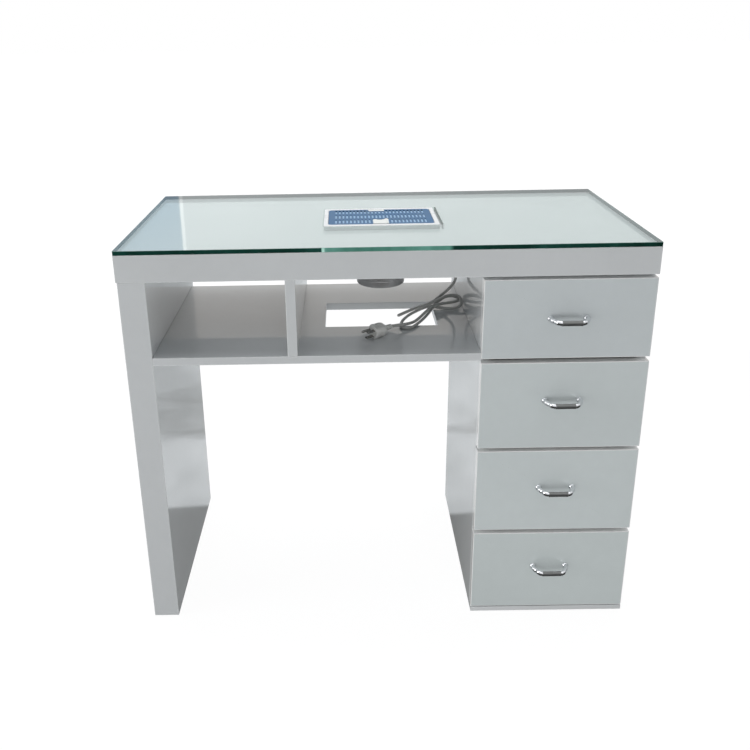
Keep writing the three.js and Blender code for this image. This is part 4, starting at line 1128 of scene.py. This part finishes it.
def switch():
    """Rocker switch on the back of the can: a rim, a sleeve and a tilted rocker."""
    low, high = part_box("switch_body")
    x, y, z = (low.x + high.x) / 2, FAN_Y + CAN_R, (low.z + high.z) / 2
    opening = centred(0.008, 0.005, 0.0008, 3, x, z)
    mesh = plate(centred(0.012, 0.009, 0.0022, 5, x, z), [opening], y + 0.0005, y + 0.0025,
                 (0.0002, 0.0008), (0.0001, 0.0005), axis="y")
    plate(centred(0.010, 0.007, 0.001, 3, x, z), [opening], y - 0.009, y + 0.0006,
          (0.0003, 0), (0.0001, 0), seg=2, axis="y", into=mesh)
    make("switch_shell", mesh, BLACK_P, "table", ("switch_body",))
    low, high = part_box("switch_rocker")
    # x, y of the rocker about its pivot
    rocker = [(-0.0068, -0.0010), (-0.0040, -0.0044), (0.0040, -0.0044), (0.0068, -0.0010),
              (0.00695, 0.0024), (0.0066, 0.0031), (0.0058, 0.00305), (0.003, 0.0023),
              (0.0, 0.0020), (-0.003, 0.0023), (-0.0058, 0.00305), (-0.0066, 0.0031),
              (-0.00695, 0.0024)]
    mesh = plate(placed(rocker, x, y, math.radians(-6)), [], low.z, high.z, (0.0004, 0.0004))
    make("switch_rocker_cap", mesh, BLACK_P, "switch", ("switch_rocker",))


vent_frame()
grille()
filter_cartridge()
filter_fleece()
dust_tray()
fan_can()
fan_can_screws()
motor_can()
impeller()
switch()

# ---------------------------------------------------------------------------
# mains cord
# ---------------------------------------------------------------------------
CORD = [  # x, y, z along the cord from the can to the plug, millimetres
    (49.5, 26.0, 696.0), (56.6, 30.5, 699.3), (64.0, 34.9, 701.9), (71.7, 39.2, 703.8), (79.5, 43.4, 705.2),
    (87.5, 47.4, 706.1), (95.7, 51.2, 706.6), (104.0, 54.7, 706.7), (112.4, 57.8, 706.2), (120.9, 60.4, 705.0),
    (129.4, 62.1, 702.4), (137.2, 62.8, 698.0), (143.8, 62.5, 692.0), (148.6, 61.5, 684.5), (152.1, 60.1, 676.3),
    (154.4, 58.5, 667.7), (155.9, 57.0, 659.0), (157.0, 55.7, 650.1), (157.7, 54.9, 641.2), (157.8, 54.4, 632.2),
    (156.4, 54.2, 623.4), (152.6, 54.1, 615.3), (147.1, 53.7, 608.1), (140.7, 52.7, 601.9), (133.8, 50.9, 596.4),
    (126.7, 48.2, 591.6), (119.6, 44.5, 587.4), (112.8, 40.0, 583.8), (105.6, 35.3, 581.1), (98.1, 30.6, 579.4),
    (90.5, 25.9, 578.2), (82.9, 21.1, 577.4), (75.5, 16.1, 576.9), (68.2, 10.8, 576.4), (61.3, 5.1, 576.1),
    (54.5, -0.9, 575.7), (48.0, -7.0, 575.3), (41.6, -13.4, 574.9), (36.0, -20.4, 575.1), (33.1, -28.6, 576.9),
    (36.1, -35.6, 581.0), (43.9, -36.1, 584.8), (51.6, -31.8, 586.5), (58.5, -26.1, 587.2), (65.4, -20.3, 587.6),
    (72.5, -14.7, 587.9), (79.6, -9.2, 588.2), (86.8, -3.9, 588.5), (94.1, 1.4, 589.0), (101.3, 6.8, 589.6),
    (108.3, 12.5, 590.3), (114.9, 18.5, 590.9), (121.0, 25.1, 591.2), (126.6, 32.2, 591.3), (132.3, 39.1, 591.3),
    (138.8, 45.4, 591.3), (146.4, 50.1, 591.1), (155.2, 51.2, 590.5), (163.1, 47.4, 589.5), (166.7, 39.8, 586.9),
    (166.9, 31.4, 583.7), (166.3, 23.0, 580.7), (161.6, 15.9, 578.0), (153.6, 12.5, 576.1), (144.7, 12.1, 575.0),
    (135.9, 13.8, 574.8), (127.5, 16.9, 574.9), (119.3, 20.7, 575.1), (110.8, 23.6, 575.4), (102.0, 23.2, 576.5),
    (93.7, 19.8, 576.2), (86.3, 14.8, 575.6), (79.5, 8.9, 575.1), (73.1, 2.5, 574.8), (67.1, -4.2, 574.6),
    (61.5, -11.2, 574.5), (56.3, -18.5, 574.4), (51.5, -26.2, 574.3), (47.2, -34.1, 574.1), (43.3, -42.2, 574.0),
    (39.9, -50.5, 573.8), (37.2, -59.1, 573.5), (35.2, -67.9, 573.2), (34.4, -76.8, 573.2), (36.4, -85.6, 573.2),
    (43.2, -90.9, 573.2), (51.7, -89.1, 573.2), (58.1, -82.8, 573.2), (63.1, -75.4, 573.2), (67.8, -67.7, 573.4),
    (72.4, -59.9, 573.5), (76.7, -52.0, 573.6), (80.8, -44.0, 573.7), (84.7, -35.9, 574.0), (88.5, -27.8, 574.3),
    (92.3, -19.6, 574.7), (95.9, -11.4, 575.3), (99.4, -3.1, 576.0), (102.9, 5.1, 577.1), (106.7, 13.1, 578.9),
    (111.0, 20.6, 581.4), (115.6, 28.2, 582.8), (120.4, 35.8, 583.1), (125.5, 43.2, 583.5), (131.0, 50.2, 584.5),
    (137.9, 55.8, 585.5), (146.3, 59.0, 586.1), (155.2, 58.5, 585.6), (161.9, 53.1, 584.0), (162.9, 44.6, 582.2),
    (158.1, 37.3, 582.1), (150.2, 33.0, 581.8), (141.8, 29.8, 581.6), (133.4, 26.6, 581.6), (125.4, 22.5, 582.0),
    (118.2, 17.2, 582.5), (111.9, 10.8, 583.2), (106.0, 4.0, 583.4), (100.4, -3.1, 583.0), (95.3, -10.5, 582.3),
    (90.5, -18.0, 581.3), (85.8, -25.6, 580.3), (81.2, -33.3, 579.3), (76.7, -41.0, 578.3), (72.2, -48.8, 577.6),
    (67.6, -56.5, 577.2), (62.7, -64.1, 577.1), (57.1, -71.1, 577.4), (50.9, -77.6, 578.1), (44.0, -83.3, 579.1),
    (36.7, -88.4, 580.2), (29.3, -93.4, 581.3), (21.8, -98.4, 582.2), (14.3, -103.3, 583.0),
]
CORD_R = 0.00295


def mains_cord():
    """The cord, very slightly uneven, and the grommet where it leaves the can."""
    path = catmull([Vector(p) * MM for p in CORD])
    scales = [1.0 + 0.012 * mnoise.noise(p * 60.0) for p in path]
    make("mains_cord", sweep(path, ellipse(CORD_R, CORD_R, 20), scales), CORD_P, "table",
         ("power_cord",), weighted=False)
    away = (path[3] - path[0]).normalized()
    # (radius, height along the cord)
    grommet = [(0.0030, -0.0035), (0.0044, -0.0035), (0.0044, -0.0012), (0.0060, -0.0012),
               (0.0064, 0.0002), (0.0058, 0.0022), (0.0040, 0.0060), (0.0036, 0.0085),
               (0.0030, 0.0085)]
    mesh = lathe(grommet, 28, closed=True)
    transform(mesh, Matrix.Translation(path[0] + away * 0.0010) @ facing(away))
    make("cord_grommet", mesh, BLACK_P, "table", (), weighted=False)


# ---------------------------------------------------------------------------
# plug: drawn along +X from the end of the cord, then placed by PLUG
# ---------------------------------------------------------------------------
PLUG_YAW, PLUG_ROLL = math.pi + math.radians(38), math.radians(-20)
PLUG_GAP = 0.0003  # from the end of the cord
PLUG_START = Vector(CORD[-1]) * MM + Vector(
    (PLUG_GAP * math.cos(PLUG_YAW), PLUG_GAP * math.sin(PLUG_YAW), 0))
PLUG = (Matrix.Translation(PLUG_START) @ Matrix.Rotation(PLUG_YAW, 4, "Z")
        @ Matrix.Rotation(PLUG_ROLL, 4, "X"))
PRONG_START = 0.0455


def plug_stations():
    """x, half width, half height and power of the section (2 is round, higher squarer)."""
    stations = [(0.0, 0.0031, 0.0031, 2), (0.0001, 0.0040, 0.0040, 2)]
    for k in range(5):  # ribs of the strain relief
        x, rib = 0.0006 + 0.0024 * k, 0.0048 + 0.00012 * k
        stations += [(x, 0.0042, 0.0042, 2), (x + 0.0007, rib, rib, 2), (x + 0.0013, rib, rib, 2),
                     (x + 0.0019, 0.0040, 0.0040, 2)]
    stations += [
        (0.0128, 0.0046, 0.0046, 2), (0.0145, 0.0058, 0.0056, 2.1), (0.0175, 0.0085, 0.0078, 2.2),
        (0.0210, 0.0108, 0.0098, 4.2), (0.0250, 0.0121, 0.0112, 3.4),
    ]
    for k in range(4):  # grip grooves
        x = 0.0275 + 0.003 * k
        stations += [(x, 0.01235, 0.0115, 3.9), (x + 0.0007, 0.0119, 0.0110, 3.9),
                     (x + 0.0013, 0.0119, 0.0110, 3.9), (x + 0.0020, 0.01235, 0.0115, 3.9)]
    return stations + [
        (0.0400, 0.0125, 0.0117, 4.2), (0.0455, 0.0126, 0.0119, 4.2), (0.0466, 0.0123, 0.0116, 4.2),
        (0.0473, 0.0116, 0.0109, 4.2), (0.0475, 0.0104, 0.0098, 4.2),
    ]


def plug_moulding():
    """Ribbed strain relief, flared shoulder and a grip body with a flat prong face."""
    mesh = bmesh.new()
    rings = []
    for x, half_y, half_z, power in plug_stations():
        ring = []
        for c, s in ellipse(1, 1, 40):
            swell = (abs(c) ** power + abs(s) ** power) ** (-1 / power)
            ring.append(mesh.verts.new(Vector((x, half_y * c * swell, half_z * s * swell))))
        rings.append(ring)
    bridge(mesh, rings, capped=True)
    make("plug_moulding", transform(mesh, PLUG), PLUG_P, "table", ("plug_body",))


def flat_prong(name, z):
    """Flat prong with a bevelled tip and a round hole."""
    y, tip, half_thick = 0.004, 0.0655, 0.00075
    # distance from the tip and half width, on one side from the body to the tip
    side = [(tip - PRONG_START, 0.0031), (0.0016, 0.0031), (0.0004, 0.0024), (0, 0.0010)]
    outline = [(tip - back, y - half) for back, half in side]
    outline += [(tip - back, y + half) for back, half in side[::-1]]
    mesh = plate(outline, [ellipse(0.0015, 0.0015, 20, tip - 0.0042, y)],
                 z - half_thick, z + half_thick, (0.00035, 0.00035), (0.0001, 0.0001), seg=2)
    make("prong_" + name, transform(mesh, PLUG), PRONG, "table", ("plug_blade_" + name,))


def ground_prong():
    profile = [(0, PRONG_START), (0.0024, PRONG_START), (0.0024, 0.0640), (0.0021, 0.0658),
               (0.0014, 0.0670), (0, 0.0675)]  # radius, x
    mesh = lathe(profile, 28, centre=(0, -0.008, 0), axis="x")
    make("prong_ground", transform(mesh, PLUG), PRONG, "table", ("plug_ground_pin",))


mains_cord()
plug_moulding()
flat_prong("line", 0.00635)
flat_prong("neutral", -0.00635)
ground_prong()


# ---------------------------------------------------------------------------
# floor
# ---------------------------------------------------------------------------
def floor_reflection(tree):
    """What glossy rays see in the floor: dark at the front, a blotched grey behind, and in
    it a darker patch with wavering borders."""
    x, y, z = tree.axes(tree.coords())
    blotch = tree.noise(tree.mapped(tree.coords(), Scale=(1.6, 0.8, 1.0)), scale=2.2, detail=3)
    wall = tree.ramp(blotch, (0.38, (0.42, 0.44, 0.45)), (0.50, (0.58, 0.605, 0.62)),
                     (0.60, (0.74, 0.77, 0.79)))
    waver = tree.noise(tree.coords(), scale=9.0, detail=3, rough=0.5)
    depth = tree.add(y, tree.span(waver, over=(0.3, 0.7), to=(-0.035, 0.035)))
    patch_end = tree.span(x, over=(-0.20, 0.05), to=(0.86, 0.575))
    patch = tree.times(
        tree.span(depth, over=(0.51, 0.545)),
        tree.span(tree.math("SUBTRACT", depth, patch_end), over=(-0.03, 0.03), to=(1.0, 0.0)))
    mottle = tree.noise(tree.mapped(tree.coords(), Scale=(1.0, 2.5, 1.0)), scale=8.0, detail=3)
    strength = tree.span(mottle, over=(0.35, 0.65), to=(0.30, 0.85))
    patch_colour, front_colour = (0.20, 0.205, 0.20), (0.055, 0.055, 0.052)
    wall = tree.mix(tree.times(patch, strength), wall, patch_colour)
    slope = 0.09  # how the border of the dark front runs off square
    skew = tree.add(y, tree.times(x, slope))
    return tree.mix(tree.span(skew, over=(0.136, 0.152)), front_colour, wall)


def floor_material():
    """Pale matt floor that turns into an even glow away from the table."""
    tree = material("pale_floor")
    spots = tree.noise(tree.coords(), scale=2.2, rough=0.5)
    pale = tree.principled(
        Base_Color=tree.ramp(spots, (0.3, (0.915, 0.917, 0.919)), (0.7, (0.925, 0.927, 0.928))),
        Roughness=0.8, Specular_IOR_Level=0.08)
    ray = tree.node("ShaderNodeLightPath").outputs
    seen, cast = (1.07,) * 3, (0.84,) * 3  # glow for the camera and for diffuse rays
    least_seen, least_cast = (0.87,) * 3, (0.72,) * 3  # share of glow near the table
    shade = tree.mix(ray["Is Diffuse Ray"], seen, cast)
    shade = tree.mix(ray["Is Glossy Ray"], shade, floor_reflection(tree))
    glow = tree.node("ShaderNodeEmission", {"Color": shade, "Strength": 1.0}).outputs[0]
    away = tree.node("ShaderNodeVectorMath", {0: tree.coords()}, operation="LENGTH")
    far = tree.math("MAXIMUM", tree.span(away.outputs["Value"], over=(0.6, 1.9)),
                    tree.mix(ray["Is Diffuse Ray"], least_seen, least_cast))
    far = tree.math("MAXIMUM", far, ray["Is Glossy Ray"])
    return tree.done(tree.mix_shader(far, pale, glow))


def floor():
    half, cells, z = 30.0, 24, -0.0006
    mesh = bmesh.new()
    places = [-half + 2 * half * k / cells for k in range(cells + 1)]
    grid = [[mesh.verts.new((x, y, z)) for y in places] for x in places]
    for a in range(cells):
        for b in range(cells):
            mesh.faces.new((grid[a][b], grid[a + 1][b], grid[a + 1][b + 1], grid[a][b + 1]))
    data = bpy.data.meshes.new("floor")
    mesh.to_mesh(data)
    mesh.free()
    ground = bpy.data.objects.new("floor", data)
    scene.collection.objects.link(ground)
    data.materials.append(floor_material())


floor()


# ---------------------------------------------------------------------------
# world, lights and camera
# ---------------------------------------------------------------------------
def studio_world():
    """A studio seen in reflections, a dimmer one that lights, and white for the camera."""
    scene.world = bpy.data.worlds.new("studio")
    tree = Shader(scene.world, "ShaderNodeOutputWorld")
    direction = tree.coords("Generated")
    x, y, z = tree.axes(direction)

    def slant():
        """Side of an upright border that stands a little left of +Y."""
        return tree.add(x, tree.times(y, 0.2077))

    front = tree.inverse(tree.smooth(y, -0.45, 0.25))
    high = tree.smooth(z, 0.08, 0.80)
    # the room in front: dark below the horizon, pale above
    room = tree.mix(tree.smooth(z, 0.0, 0.05), (0.06, 0.062, 0.065), (0.80, 0.81, 0.82))
    low = tree.mix(front, (0.98, 1.0, 1.01), room)
    # darker to the right, and darkest there at the horizon
    low = tree.mix(tree.times(tree.smooth(x, 0.02, 0.34), 0.24), low, (0.0, 0.0, 0.0))
    level = tree.inverse(tree.smooth(z, 0.0, 0.06))
    dark_right = tree.times(tree.smooth(x, 0.45, 0.75), level, 0.8)
    low = tree.mix(dark_right, low, (0.02, 0.02, 0.022))
    # blue at the back left of the border
    blue = tree.times(tree.inverse(tree.smooth(slant(), -0.0025, 0.0025)),
                      tree.smooth(y, 0.2, 0.5), 0.9)
    low = tree.mix(blue, low, (0.40, 0.55, 0.70))
    # thin bright strip along the border
    side = slant()
    strip = tree.times(tree.smooth(side, -0.001, 0.001),
                       tree.inverse(tree.smooth(side, 0.003, 0.005)),
                       tree.smooth(y, 0.2, 0.5), 0.8)
    low = tree.mix(strip, low, (1.5, 1.5, 1.5))
    # warm band above it
    warm = tree.times(tree.smooth(z, 0.28, 0.30), tree.inverse(tree.smooth(z, 0.42, 0.60)),
                      tree.smooth(y, 0.1, 0.4))
    low = tree.mix(warm, low, (0.72, 0.65, 0.575))
    sky = tree.mix(high, low, (1.05, 1.06, 1.08))
    # uneven brightness
    uneven = tree.noise(direction, scale=2.3, detail=3, rough=0.5)
    patch = tree.span(uneven, over=(0.0, 1.0), to=(0.72, 1.24))
    grey = tree.node("ShaderNodeCombineColor", {0: patch, 1: patch, 2: patch}).outputs[0]
    sky = tree.mix(1.0, sky, grey, "MULTIPLY")
    # light cast on the pieces: from the back, from the front, from above
    back_cast, front_cast, high_cast = (0.92, 0.92, 0.925), (0.16, 0.162, 0.165), (0.235, 0.239, 0.246)
    cast = tree.mix(high, tree.mix(front, back_cast, front_cast), high_cast)
    ray = tree.node("ShaderNodeLightPath").outputs
    sky = tree.mix(ray["Is Diffuse Ray"], sky, cast)
    sky = tree.mix(ray["Is Camera Ray"], sky, (1.0, 1.0, 1.0))
    tree.done(tree.node("ShaderNodeBackground", {"Color": sky, "Strength": 1.0}).outputs[0])


def area(name, place, target, width, height, power):
    """A rectangular light aimed at target, hidden from the camera."""
    light = bpy.data.lights.new(name, "AREA")
    light.shape = "RECTANGLE"
    light.size = width
    light.size_y = height
    light.energy = power
    lamp = bpy.data.objects.new(name, light)
    lamp.location = place
    aim = Vector(target) - Vector(place)
    lamp.rotation_euler = aim.to_track_quat("-Z", "Y").to_euler()
    lamp.visible_camera = False
    scene.collection.objects.link(lamp)
    return lamp


def camera():
    data = bpy.data.cameras.new("camera")
    data.sensor_width = 36
    data.lens = 38.83
    data.shift_x = 0.0451
    data.shift_y = -0.0939
    data.clip_start = 0.05
    data.clip_end = 100
    eye = bpy.data.objects.new("camera", data)
    scene.collection.objects.link(eye)
    x, y, z = -0.0713, -1.5568, 1.1463
    pitch, roll, yaw = math.radians(19.602), math.radians(1.093), math.radians(0.403)
    level = Vector((math.cos(yaw), math.sin(yaw), 0))
    upright = Vector((-math.sin(pitch) * math.sin(yaw), math.sin(pitch) * math.cos(yaw),
                      math.cos(pitch)))
    view = Vector((-math.cos(pitch) * math.sin(yaw), math.cos(pitch) * math.cos(yaw),
                   -math.sin(pitch)))
    right = math.cos(roll) * level - math.sin(roll) * upright
    up = math.sin(roll) * level + math.cos(roll) * upright
    eye.matrix_world = Matrix((
        (right.x, up.x, -view.x, x),
        (right.y, up.y, -view.y, y),
        (right.z, up.z, -view.z, z),
        (0, 0, 0, 1)))
    scene.camera = eye


studio_world()
area("overhead", place=(0.1, 0.7, 3.4), target=(0, 0, 0.4), width=3.0, height=3.0, power=60)
area("left_panel", place=(-2.5, -0.8, 0.62), target=(0, 0, 0.35), width=1.0, height=1.7, power=23)
low_panel = area("low_panel", place=(0.3, -1.6, 0.42), target=(0.3, -0.2, 0.22),
                 width=1.7, height=0.5, power=4.0)
low_panel.visible_glossy = False
area("front_panel", place=(0.5, -2.6, 2.6), target=(0.15, -0.2, 0.4),
     width=2.2, height=0.9, power=0.6)
camera()
scene.view_settings.view_transform = "Standard"
scene.view_settings.look = "None"
scene.view_settings.exposure = 0.0
scene.view_settings.gamma = 1.0
